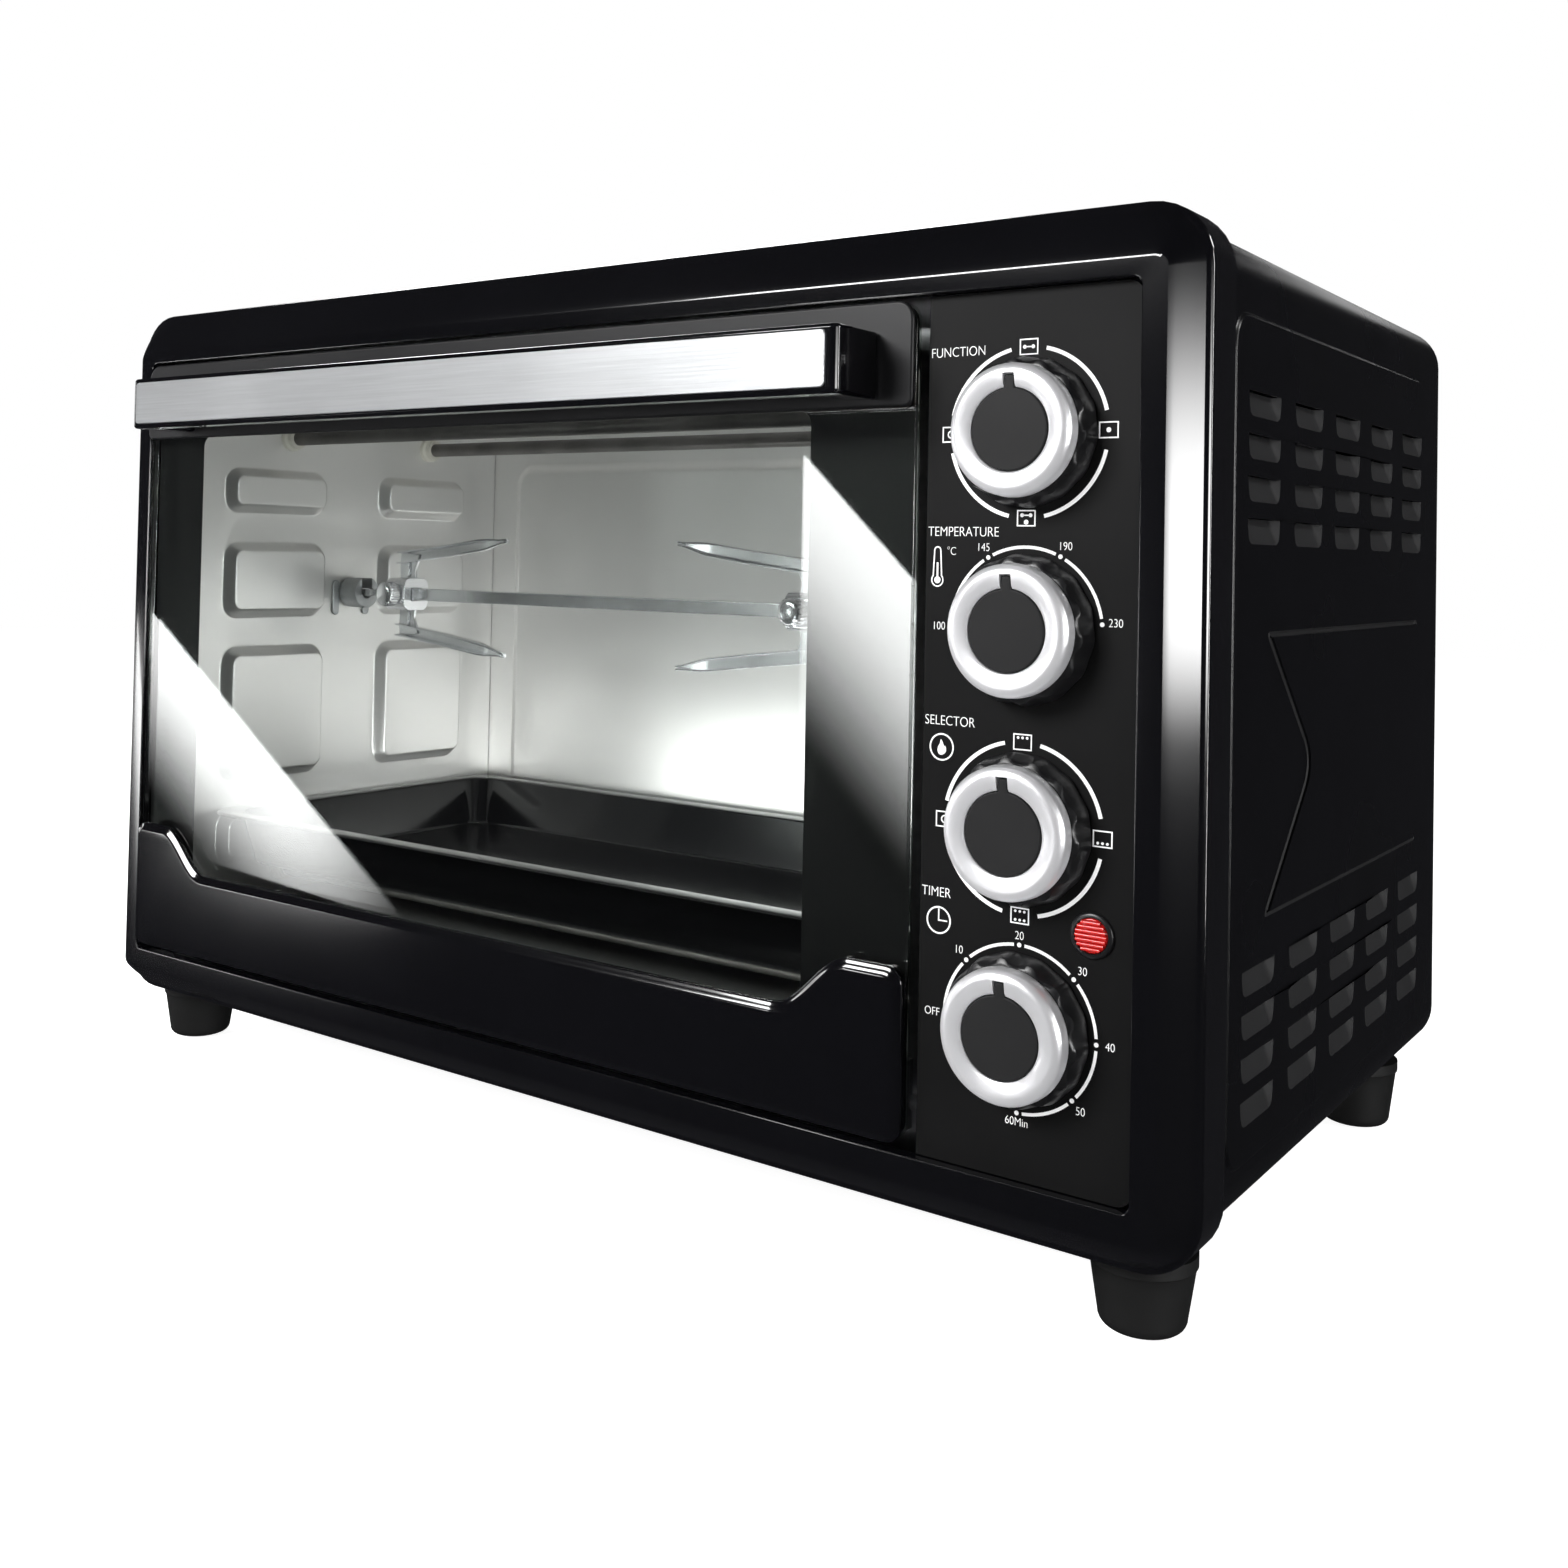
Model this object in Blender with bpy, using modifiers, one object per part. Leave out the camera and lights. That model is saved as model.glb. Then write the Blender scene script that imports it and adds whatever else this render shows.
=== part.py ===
"""Countertop rotisserie oven: chassis, drop-down glass door, four controls, spit, fan and tray.

Metres, +Z up. Seen from the front, x runs left to right and y runs from front to back. The design
is drawn with y = 0 on the bezel's front face, and the frame empty then moves it so that the origin
is under the middle of the whole oven. The door turns about its lower edge, the knobs about y, the
spit and the fan about x, and the tray slides out along -y.
"""

import math

import bmesh
import bpy
from mathutils import Matrix, Vector

# Overall sizes
WIDTH = 0.520
BODY_HEIGHT = 0.314
BODY_DEPTH = 0.300
FOOT_HEIGHT = 0.024

# Gaps
TOUCH = 0.0003  # between pieces that touch
RUNNING = 0.0004  # round a shaft that turns
DOOR_GAP = 0.0015  # round the closed door
SLIDE_GAP = 0.0010  # beside the tray's rim

# Sheet metal and plastic walls
SHEET = 0.0010
PANEL = 0.0025
GLASS = 0.0035

# Front bezel: a moulded frame with a broad chamfer round a flat border
CHAMFER_SIDE = 0.0105
CHAMFER_TOP = 0.0176
CHAMFER_BOTTOM = 0.0105
CHAMFER_DEPTH = 0.0080
BEZEL_DEPTH = 0.028
BEZEL_CORNER = 0.020
BEZEL_RIM = 0.0022  # round edge between the chamfer and the sides
FLAT_CORNER = 0.004
BORDER_SIDE = 0.0080
BORDER_TOP = 0.0060
BORDER_BOTTOM = 0.0092
LIP_SLOPE = 0.0017

# Cabinet shell
SHELL_CORNER = BEZEL_CORNER - PANEL
SHELL_FRONT = 0.0165
REAR_ROUND = 0.007
VENT_COLUMNS = 5
VENT_ROWS = 4
VENT_LENGTH = 0.026
VENT_HEIGHT = 0.0035
VENT_COLUMN_PITCH = 0.0460
VENT_ROW_PITCH = 0.0132
VENT_FIRST_Y = 0.062
VENT_TOP_BELOW = 0.062  # first row of the upper group, under the oven's top
VENT_BOTTOM_ABOVE = 0.034  # last row of the lower group, over the oven's underside

# Control side
CONTROL_WIDTH = 0.0715
FASCIA_RECESS = 0.0035
FASCIA_CORNER = 0.005
FASCIA_FLANGE = 0.0015
KNOB_IN = 0.0345  # knobs' axes from the fascia's left edge
KNOB_PITCH = 0.0602
KNOB_TOP_BELOW = 0.068  # top knob's axis under the oven's top
KNOB_RADIUS = 0.0232
KNOB_SKIRT = 0.0075
KNOB_HEIGHT = 0.0140
RING_RADIUS = 0.0203
RING_BORE = 0.0128
KNOB_OFF_GAP = 0.0008
KNOB_TAPER = 0.0012
KNOB_CAP_DROP = 0.0010  # knob's middle under its bright ring
KNOB_WALL = 0.0040  # over the shaft's end
RING_CROWN = 0.0030
RING_EDGE = 0.0018
SHAFT_RADIUS = 0.0030
SHAFT_HOLE_GAP = 0.0010
SHAFT_IN_SWITCH = 0.0060
SWITCH_SIZE = 0.034
SWITCH_DEPTH = 0.030
LAMP_RADIUS = 0.0053
LAMP_OUT = 0.0235  # lamp's axis, right of the knobs' axes
LAMP_DROP = 0.0285  # under the third knob's axis
LAMP_DOME = 0.0022
LAMP_SHOULDER = 0.0016
LAMP_LENGTH = 0.009
BAY_MARGIN = 0.004  # front frame's opening round the switches
BAY_LAMP_SIDE = 0.010

# Door
RAIL_HEIGHT = 0.0340
SILL_HEIGHT = 0.0365
SILL_RISE = 0.0190
SILL_THICK = 0.0022
SILL_SHOULDER = 0.020
SILL_RUN = 0.030
DOOR_CORNER = 0.006
RAIL_CORNER = 0.003
GLASS_FRONT = 0.0005
HANDLE_REACH = 0.028
HANDLE_HEIGHT = 0.022
HANDLE_BAR = 0.0090
HANDLE_LEFT_IN = 0.0245  # bar's ends from the door's edges
HANDLE_RIGHT_IN = 0.0125
HANDLE_DROP = 0.0205  # handle's middle under the door's top
POST_WIDTH = 0.012
POST_STEP = 0.003  # posts are lower than the bar by this much, above and below
POST_SIDE = 0.0005
POST_SINK = 0.002
HANDLE_EDGE = 0.0008
PLATE_THICK = 0.0008
PLATE_MARGIN = 0.0020
HINGE_RISE = 0.0105  # hinge axis over the door's lower edge
HINGE_WALL = 0.0010
HINGE_BLOCK = 0.020
PIN_RADIUS = 0.0025
PIN_LENGTH = 0.014
PIN_INSIDE = 0.006  # pin's length inside the door's edge
ARM_INSIDE = 0.002  # arm's outer face inside the door's edge
ARM_LENGTH = 0.020
ARM_LOW = 0.0025
ARM_RISE = 0.014
BLOCK_NEAR = 0.0035  # hinge block's faces outside the door's edge
BLOCK_FAR = 0.0075
SPRING_WIRE = 0.0010
SPRING_TURNS = 3
SPRING_PITCH = 1.15  # in wire diameters

# Cavity
CAVITY_LEFT = 0.027  # inner wall from the oven's left side
CAVITY_RIGHT = 0.013  # inner wall left of the fascia's left edge
CAVITY_FLOOR = 0.036  # over the oven's underside
CAVITY_TOP = 0.038  # under the oven's top
CAVITY_DEPTH = 0.195
SWING_GAP = 0.0010  # behind the door's lower edge when it is open
MOUTH_LIP = 0.0010
MOUTH_CORNER = 0.006
PAD_DEPTH = 0.006
PAD_COLUMN_FRONT = 0.012
PAD_COLUMN_LENGTH = 0.062
SPIT_BAY = 0.034
PAD_CLEAR = 0.0015  # lowest pads over the lower heating rods
GUIDE_GAP = 0.0130
HEATER_RADIUS = 0.0035
HEATER_INSET = 0.0115
HEATER_UPPER_DROP = 0.0155
HEATER_OVERRUN = 0.010
HEATER_SPAN = 0.092
FAN_RADIUS = 0.030
FAN_WIDTH = 0.0065
FAN_BLADES = 6
FAN_SHAFT = 0.0025
FAN_HUB = 0.0065
FAN_BEHIND = 0.002  # impeller's gap to the wall
BLADE_ROOT = 14  # half of a blade's angle at the hub
BLADE_TIP = 2
GUARD_RADIUS = 0.0365
GUARD_DEPTH = 0.013
GUARD_FLANGE = 0.0035
GUARD_EDGE = 0.003
GUARD_SLOT = 0.004
GUARD_SLOT_PITCH = 0.0105
GUARD_SLOT_END = 0.007
MOTOR_GAP = 0.003
FAN_MOTOR_RADIUS = 0.021
FAN_MOTOR_LENGTH = 0.032
FAN_SHAFT_END = 0.007
MOTOR_BORE = 0.009

# Spit
SPIT_SIZE = 0.0060
SPIT_PIN = 0.0026
SPIT_HEIGHT = 0.148  # axis over the cavity floor
SPIT_END = 0.0012
SPIT_EDGE = 0.78  # flat share of the square bar's sides
SPIT_SHOULDER = 0.0015
SPIT_CONE = 0.002
HANGER_RADIUS = 0.0080
HANGER_DEPTH = 0.0135
HANGER_GAP = 0.0005
SOCKET_RADIUS = 0.0080
SOCKET_OUT = 0.016
SOCKET_DEPTH = 0.011
SPIT_MOTOR_SIZE = 0.048
SPIT_MOTOR_DEPTH = 0.026
FORK_HUB = 0.0160
FORK_HUB_LENGTH = 0.0140
FORK_ROOT = 0.0180  # tine's middle from the spit's axis, at the hub
FORK_SPREAD = 0.0275  # and at its tip
FORK_REACH = 0.070
FORK_POINT = 0.014
FORK_BACK = 0.0055
FORK_NECK = 0.0045
FORK_CROTCH = 0.0090
FORK_SHEET = 0.0030
TINE_WIDTH = 0.0062
SCREW_RADIUS = 0.0062
SCREW_HEAD = 0.0080
SCREW_SHANK = 0.0020
SCREW_EDGE = 0.0006
LEFT_FORK_IN = 0.043
RIGHT_FORK_IN = 0.104

# Tray
TRAY_DEPTH = 0.024
TRAY_FRONT_GAP = 0.0035
TRAY_LENGTH = 0.183
TRAY_RIM = 0.0095
TRAY_TAPER = 0.007
TRAY_CORNER = 0.016
TRAY_CLEAR = 0.003  # tray's floor over the lowest pads' feet
PAD_HEIGHTS = (TRAY_DEPTH + TRAY_CLEAR, 0.0655, 0.0380, 0.0230)

# Feet and back
FOOT_RADIUS = 0.0165
FOOT_TAPER = 0.0022
FOOT_EDGE = 0.003
FOOT_SIDE = 0.026
FOOT_FRONT = 0.031
FOOT_REAR = 0.038
GLAND_RADIUS = 0.0060
GLAND_BORE = 0.0036
GLAND_FLANGE = 0.003
GLAND_INSIDE = 0.006
GLAND_HEIGHT = 0.045
BACK_SLOT_ROWS = 3
BACK_SLOT_COLUMNS = 6
BACK_SLOT_LENGTH = 0.024
BACK_SLOT_HEIGHT = 0.004
BACK_SLOT_PITCH = 0.034
BACK_SLOT_ROW_PITCH = 0.014
BACK_SLOT_SIDE = 0.075
BACK_SLOT_DROP = 0.075
REAR_REACH = 0.012
SPACER_LENGTH = 0.140
SPACER_HEIGHT = 0.018
SPACER_DROP = 0.135
SPACER_EDGE = 0.003

# Places worked out from the sizes above
LEFT = -WIDTH / 2
RIGHT = WIDTH / 2
UNDER = FOOT_HEIGHT
TOP = FOOT_HEIGHT + BODY_HEIGHT
OPEN_LEFT = LEFT + CHAMFER_SIDE + BORDER_SIDE
OPEN_RIGHT = RIGHT - CHAMFER_SIDE - BORDER_SIDE
OPEN_LOW = UNDER + CHAMFER_BOTTOM + BORDER_BOTTOM
OPEN_HIGH = TOP - CHAMFER_TOP - BORDER_TOP
FASCIA_LEFT = OPEN_RIGHT - CONTROL_WIDTH
DOOR_LEFT = OPEN_LEFT + DOOR_GAP
DOOR_RIGHT = FASCIA_LEFT - 2 * DOOR_GAP
DOOR_LOW = OPEN_LOW + 2 * DOOR_GAP
DOOR_HIGH = OPEN_HIGH - DOOR_GAP
GLASS_BACK = GLASS_FRONT + GLASS
FASCIA_BACK = FASCIA_RECESS + PANEL
HINGE_Y = FASCIA_BACK + TOUCH + HINGE_WALL + RUNNING + PIN_RADIUS
HINGE_Z = DOOR_LOW + HINGE_RISE
FRAME_Y = HINGE_Y + HINGE_RISE + SWING_GAP
SHELL_HALF = RIGHT - PANEL - 2 * TOUCH
SHELL_TOP = TOP - PANEL - 2 * TOUCH
SHELL_LOW = UNDER + PANEL + TOUCH
INNER_HALF = SHELL_HALF - SHEET - TOUCH
INNER_TOP = SHELL_TOP - SHEET - TOUCH
BASE_TOP = SHELL_LOW + SHEET
INNER_CORNER = SHELL_CORNER - SHEET - TOUCH
BACK_Y = BODY_DEPTH - REAR_ROUND - SHEET - TOUCH
WALL_LEFT = LEFT + CAVITY_LEFT
WALL_RIGHT = FASCIA_LEFT - CAVITY_RIGHT
FLOOR_Z = UNDER + CAVITY_FLOOR
CEILING_Z = TOP - CAVITY_TOP
CAVITY_FRONT = FRAME_Y + SHEET + TOUCH
CAVITY_BACK = CAVITY_FRONT + CAVITY_DEPTH
SPIT_Y = CAVITY_FRONT + PAD_COLUMN_FRONT + PAD_COLUMN_LENGTH + SPIT_BAY / 2
SPIT_Z = FLOOR_Z + SPIT_HEIGHT
REAR_PADS = SPIT_Y + SPIT_BAY / 2
FAN_Y = REAR_PADS + PAD_COLUMN_LENGTH / 2
PAD_LOWEST = HEATER_INSET + HEATER_RADIUS + PAD_CLEAR
GUIDE_Z = FLOOR_Z + PAD_LOWEST + PAD_HEIGHTS[0]
FAN_Z = GUIDE_Z + GUIDE_GAP + GUARD_RADIUS + GUARD_FLANGE + SLIDE_GAP
KNOB_X = FASCIA_LEFT + KNOB_IN
SWITCH_Y = FASCIA_BACK + TOUCH
MOTOR_X = WALL_RIGHT + SHEET + MOTOR_GAP
MIDDLE_Y = (BODY_DEPTH + REAR_REACH - HANDLE_REACH) / 2

ROUND_SIDES = 20
BORE_SIDES = 16
HOLE_SIDES = 12
OVERCUT = 0.002  # cutters reach past a face by this much

# Turning a drawing plane into the oven's axes: its third axis is the plate's normal
FRONT_PLANE = Matrix(((1, 0, 0), (0, 0, -1), (0, 1, 0)))  # x, z, normal -y
SIDE_PLANE = Matrix(((0, 0, 1), (1, 0, 0), (0, 1, 0)))  # y, z, normal +x
LEVEL_PLANE = Matrix(((1, 0, 0), (0, 1, 0), (0, 0, 1)))  # x, y, normal +z

for old in list(bpy.data.objects):
    bpy.data.objects.remove(old)

oven = bpy.data.collections.new("rotisserie_oven")
cutters = bpy.data.collections.new("cutters")
bpy.context.scene.collection.children.link(oven)
bpy.context.scene.collection.children.link(cutters)


def material(name, colour, roughness, metallic=0.0, alpha=1.0):
    """One Principled material; colour is linear red, green, blue."""
    made = bpy.data.materials.new(name)
    made.use_nodes = True
    shader = made.node_tree.nodes["Principled BSDF"]
    shader.inputs["Base Color"].default_value = (*colour, 1.0)
    shader.inputs["Roughness"].default_value = roughness
    shader.inputs["Metallic"].default_value = metallic
    shader.inputs["Alpha"].default_value = alpha
    made.diffuse_color = (*colour, alpha)
    return made


GLOSS_BLACK = material("gloss_black", (0.006, 0.006, 0.008), 0.12)
PAINT_BLACK = material("paint_black", (0.012, 0.012, 0.014), 0.35)
MATT_BLACK = material("matt_black", (0.010, 0.010, 0.010), 0.55)
RUBBER = material("rubber", (0.015, 0.015, 0.015), 0.75)
STEEL = material("steel", (0.62, 0.62, 0.63), 0.30, 1.0)
ZINC = material("zinc_steel", (0.45, 0.46, 0.47), 0.42, 1.0)
CHROME = material("chrome", (0.82, 0.82, 0.84), 0.06, 1.0)
ENAMEL = material("black_enamel", (0.008, 0.008, 0.009), 0.18)
HEATER = material("heater_steel", (0.30, 0.29, 0.28), 0.50, 1.0)
PLASTIC = material("switch_plastic", (0.55, 0.52, 0.44), 0.60)
DOOR_GLASS = material("door_glass", (0.05, 0.05, 0.05), 0.03, 0.0, 0.35)
RED_LENS = material("red_lens", (0.55, 0.02, 0.01), 0.15)


def empty(name, place, parent=None):
    """A joint's axis, or the frame that everything hangs on."""
    made = bpy.data.objects.new(name, None)
    made.location = place
    made.parent = parent
    oven.objects.link(made)
    return made


frame = empty("oven_frame", (0, -MIDDLE_Y, 0))


def add(name, mesh, finish, turn=LEVEL_PLANE, place=(0, 0, 0), home=None, group=oven):
    """Put a mesh in the scene; home is the empty that it moves with, whose place it is drawn from."""
    made = bpy.data.objects.new(name, mesh)
    if finish:
        mesh.materials.append(finish)
    home = home or frame
    made.parent = home
    offset = (0, 0, 0) if home is frame else home.location
    made.location = [p - o for p, o in zip(place, offset)]
    made.rotation_euler = turn.to_euler()
    group.objects.link(made)
    return made


def box_mesh(name, low, high):
    """A plain block between two corners."""
    mesh = bpy.data.meshes.new(name)
    cage = bmesh.new()
    bmesh.ops.create_cube(cage, size=1.0)
    size = [b - a for a, b in zip(low, high)]
    middle = [(a + b) / 2 for a, b in zip(low, high)]
    bmesh.ops.transform(cage, matrix=Matrix.LocRotScale(middle, None, size), verts=cage.verts)
    cage.to_mesh(mesh)
    cage.free()
    return mesh


def bevel(piece, width, segments=2):
    """Round a piece's edges."""
    edge = piece.modifiers.new("edges", "BEVEL")
    edge.width = width
    edge.segments = segments
    edge.limit_method = "ANGLE"
    return piece


def block(name, low, high, finish, home=None, edge=0.0, segments=2):
    """A block, drawn in the oven's axes, with rounded edges if edge is given."""
    piece = add(name, box_mesh(name, low, high), finish, home=home)
    home = home or frame
    if home is not frame:
        piece.location = -home.location
    if edge:
        bevel(piece, edge, segments)
    return piece


def arc(centre, radius, start, end, steps):
    """Points round part of a circle; angles in degrees, anticlockwise."""
    points = []
    for step in range(steps + 1):
        angle = math.radians(start + (end - start) * step / steps)
        points.append((centre[0] + radius * math.cos(angle), centre[1] + radius * math.sin(angle)))
    return points


def rounded(left, right, low, high, radius, steps=4):
    """A rectangle with round corners, anticlockwise; radius may be one value or four.

    Four values go: lower right, upper right, upper left, lower left.
    """
    radii = radius if isinstance(radius, tuple) else (radius,) * 4
    corners = ((right, low, -90), (right, high, 0), (left, high, 90), (left, low, 180))
    points = []
    for (x, y, start), corner in zip(corners, radii):
        if corner <= 0:
            points.append((x, y))
            continue
        centre = (x - corner if x == right else x + corner, y - corner if y == high else y + corner)
        points += arc(centre, corner, start, start + 90, steps)
    return points


def circle(centre, radius, sides=HOLE_SIDES):
    """A round hole's outline."""
    return arc(centre, radius, 0, 360 - 360 / sides, sides - 1)


def plate(name, turn, outlines, low, high, finish, home=None, group=oven):
    """A flat outline with holes, made thick between low and high along the plane's normal."""
    curve = bpy.data.curves.new(name, "CURVE")
    curve.dimensions = "2D"
    curve.fill_mode = "BOTH"
    curve.extrude = (high - low) / 2
    for outline in outlines:
        spline = curve.splines.new("POLY")
        spline.points.add(len(outline) - 1)
        for point, (a, b) in zip(spline.points, outline):
            point.co = (a, b, 0, 1)
        spline.use_cyclic_u = True
    drawn = bpy.data.objects.new(name + "_outline", curve)
    oven.objects.link(drawn)
    bpy.context.view_layer.update()
    mesh = bpy.data.meshes.new_from_object(drawn.evaluated_get(bpy.context.evaluated_depsgraph_get()))
    bpy.data.objects.remove(drawn)
    bpy.data.curves.remove(curve)
    mesh.materials.clear()
    cage = bmesh.new()
    cage.from_mesh(mesh)
    bmesh.ops.remove_doubles(cage, verts=cage.verts, dist=0.00001)
    cage.to_mesh(mesh)
    cage.free()
    mesh.name = name
    middle = turn @ Vector((0, 0, (low + high) / 2))
    return add(name, mesh, finish, turn, middle, home, group)


def turned(name, turn, profile, place, finish, home=None, closed=False, sides=ROUND_SIDES):
    """A turned piece: (radius, height) points down its outer side, top to bottom."""
    mesh = bpy.data.meshes.new(name)
    cage = bmesh.new()
    points = [cage.verts.new((radius, 0, height)) for radius, height in profile]
    for first, second in zip(points, points[1:]):
        cage.edges.new((first, second))
    if closed:
        cage.edges.new((points[-1], points[0]))
    cage.to_mesh(mesh)
    cage.free()
    piece = add(name, mesh, finish, turn, place, home)
    spin = piece.modifiers.new("turn", "SCREW")
    spin.steps = sides
    spin.render_steps = sides
    spin.use_merge_vertices = True
    spin.merge_threshold = 0.00001
    return piece


def rod(name, turn, place, radius, length, finish, home=None, sides=ROUND_SIDES, group=oven):
    """A round bar that starts at place and runs along the plane's normal."""
    mesh = bpy.data.meshes.new(name)
    cage = bmesh.new()
    bmesh.ops.create_cone(
        cage, cap_ends=True, segments=sides, radius1=radius, radius2=radius, depth=length,
        matrix=Matrix.Translation((0, 0, length / 2)),
    )
    cage.to_mesh(mesh)
    cage.free()
    return add(name, mesh, finish, turn, place, home, group)


def tool(piece, shape, operation):
    """Use shape on piece: DIFFERENCE cuts it away, UNION joins it."""
    shape.hide_render = True
    shape.display_type = "WIRE"
    for held in list(shape.users_collection):
        held.objects.unlink(shape)
    cutters.objects.link(shape)
    change = piece.modifiers.new(operation.lower(), "BOOLEAN")
    change.operation = operation
    change.object = shape
    return piece


def cut(piece, shape):
    return tool(piece, shape, "DIFFERENCE")


def join(piece, shape):
    return tool(piece, shape, "UNION")


def blocks_mesh(name, boxes):
    """Several blocks in one mesh, as one cutter or one set of pads."""
    mesh = bpy.data.meshes.new(name)
    cage = bmesh.new()
    for low, high in boxes:
        cage.from_mesh(box_mesh(name + "_one", low, high))
    cage.to_mesh(mesh)
    cage.free()
    return mesh


def loft(name, rings, finish, ends="joined", home=None):
    """Closed rings of equal length joined in order.

    Ends may be joined to each other, capped by one face each, or walled, where each ring is an outer
    line followed by an inner one.
    """
    mesh = bpy.data.meshes.new(name)
    cage = bmesh.new()
    rows = [[cage.verts.new(point) for point in ring] for ring in rings]
    followers = rows[1:] + (rows[:1] if ends == "joined" else [])
    for row, other in zip(rows, followers):
        for index in range(len(row)):
            after = (index + 1) % len(row)
            cage.faces.new((row[index], row[after], other[after], other[index]))
    for row in (rows[0], rows[-1]):
        if ends == "capped":
            cage.faces.new(row)
        if ends == "walled":
            for index in range(len(row) // 2 - 1):
                cage.faces.new((row[index], row[index + 1], row[-index - 2], row[-index - 1]))
    bmesh.ops.recalc_face_normals(cage, faces=cage.faces)
    cage.to_mesh(mesh)
    cage.free()
    piece = add(name, mesh, finish, home=home)
    if home:
        piece.location = -home.location
    return piece


# --- Casing -------------------------------------------------------------------------------------

def bezel_ring(side, top, bottom, corner, y):
    """One outline of the bezel, set in from the oven's outer size, at depth y."""
    outline = rounded(LEFT + side, RIGHT - side, UNDER + bottom, TOP - top, corner, 5)
    return [(x, y, z) for x, z in outline]


def make_bezel():
    """The front frame: flat border, broad chamfer, then a rim that wraps round the cabinet."""
    side = CHAMFER_SIDE + BORDER_SIDE
    top = CHAMFER_TOP + BORDER_TOP
    bottom = CHAMFER_BOTTOM + BORDER_BOTTOM
    rim = BEZEL_RIM
    rings = [
        bezel_ring(side, top, bottom, FLAT_CORNER * 0.75, 0),
        bezel_ring(CHAMFER_SIDE, CHAMFER_TOP, CHAMFER_BOTTOM, FLAT_CORNER, 0),
        bezel_ring(rim, rim, rim, BEZEL_CORNER - rim, CHAMFER_DEPTH),
        bezel_ring(0, 0, 0, BEZEL_CORNER, CHAMFER_DEPTH + rim),
        bezel_ring(0, 0, 0, BEZEL_CORNER, BEZEL_DEPTH),
        bezel_ring(PANEL, PANEL, PANEL, BEZEL_CORNER - PANEL, BEZEL_DEPTH),
        bezel_ring(PANEL, PANEL, PANEL, BEZEL_CORNER - PANEL, CHAMFER_DEPTH + PANEL + rim),
        bezel_ring(CHAMFER_SIDE + rim, CHAMFER_TOP + rim, CHAMFER_BOTTOM + rim, FLAT_CORNER, PANEL),
        bezel_ring(side, top, bottom - LIP_SLOPE, FLAT_CORNER * 0.75, PANEL),
    ]
    return loft("front_bezel", rings, GLOSS_BLACK)


def shell_path(half, low, high, corner):
    """The cabinet's section, from its lower left lip over the top to its lower right lip."""
    inner = half - corner
    path = arc((-inner, low + corner), corner, 270, 180, 5)
    path += arc((-inner, high - corner), corner, 180, 90, 5)
    path += arc((inner, high - corner), corner, 90, 0, 5)
    return path + arc((inner, low + corner), corner, 0, -90, 5)


def shell_section(y, inset):
    """The wrapped sheet's cross-section at depth y, drawn in by inset at the rounded rear edge."""
    skin = inset + SHEET
    outer = shell_path(SHELL_HALF - inset, SHELL_LOW + inset, SHELL_TOP - inset, SHELL_CORNER - inset)
    inner = shell_path(SHELL_HALF - skin, SHELL_LOW + skin, SHELL_TOP - skin, SHELL_CORNER - skin)
    return [(x, y, z) for x, z in outer + inner[::-1]]


def vent_slots(side):
    """Openings behind one side's louvres: an upper group and a lower group."""
    upper = TOP - VENT_TOP_BELOW
    lower = UNDER + VENT_BOTTOM_ABOVE + VENT_ROW_PITCH * (VENT_ROWS - 1)
    x = side * SHELL_HALF
    boxes = []
    for first in (upper, lower):
        for row in range(VENT_ROWS):
            for column in range(VENT_COLUMNS):
                y = VENT_FIRST_Y + VENT_COLUMN_PITCH * column
                z = first - VENT_ROW_PITCH * row
                low = (x - OVERCUT, y - VENT_LENGTH / 2, z - VENT_HEIGHT / 2)
                high = (x + OVERCUT, y + VENT_LENGTH / 2, z + VENT_HEIGHT / 2)
                boxes.append((low, high))
    return boxes


def make_cabinet():
    """Top and both sides in one bent sheet, with vent slots, its rear edge rounded inward."""
    rings = [
        shell_section(SHELL_FRONT, 0),
        shell_section(BODY_DEPTH - REAR_ROUND, 0),
        shell_section(BODY_DEPTH - REAR_ROUND * 0.35, REAR_ROUND * 0.25),
        shell_section(BODY_DEPTH, REAR_ROUND * 0.85),
    ]
    shell = loft("cabinet_shell", rings, PAINT_BLACK, ends="walled")
    slots = vent_slots(-1) + vent_slots(1)
    return cut(shell, add("vent_cutter", blocks_mesh("vent_cutter", slots), None))


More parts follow.
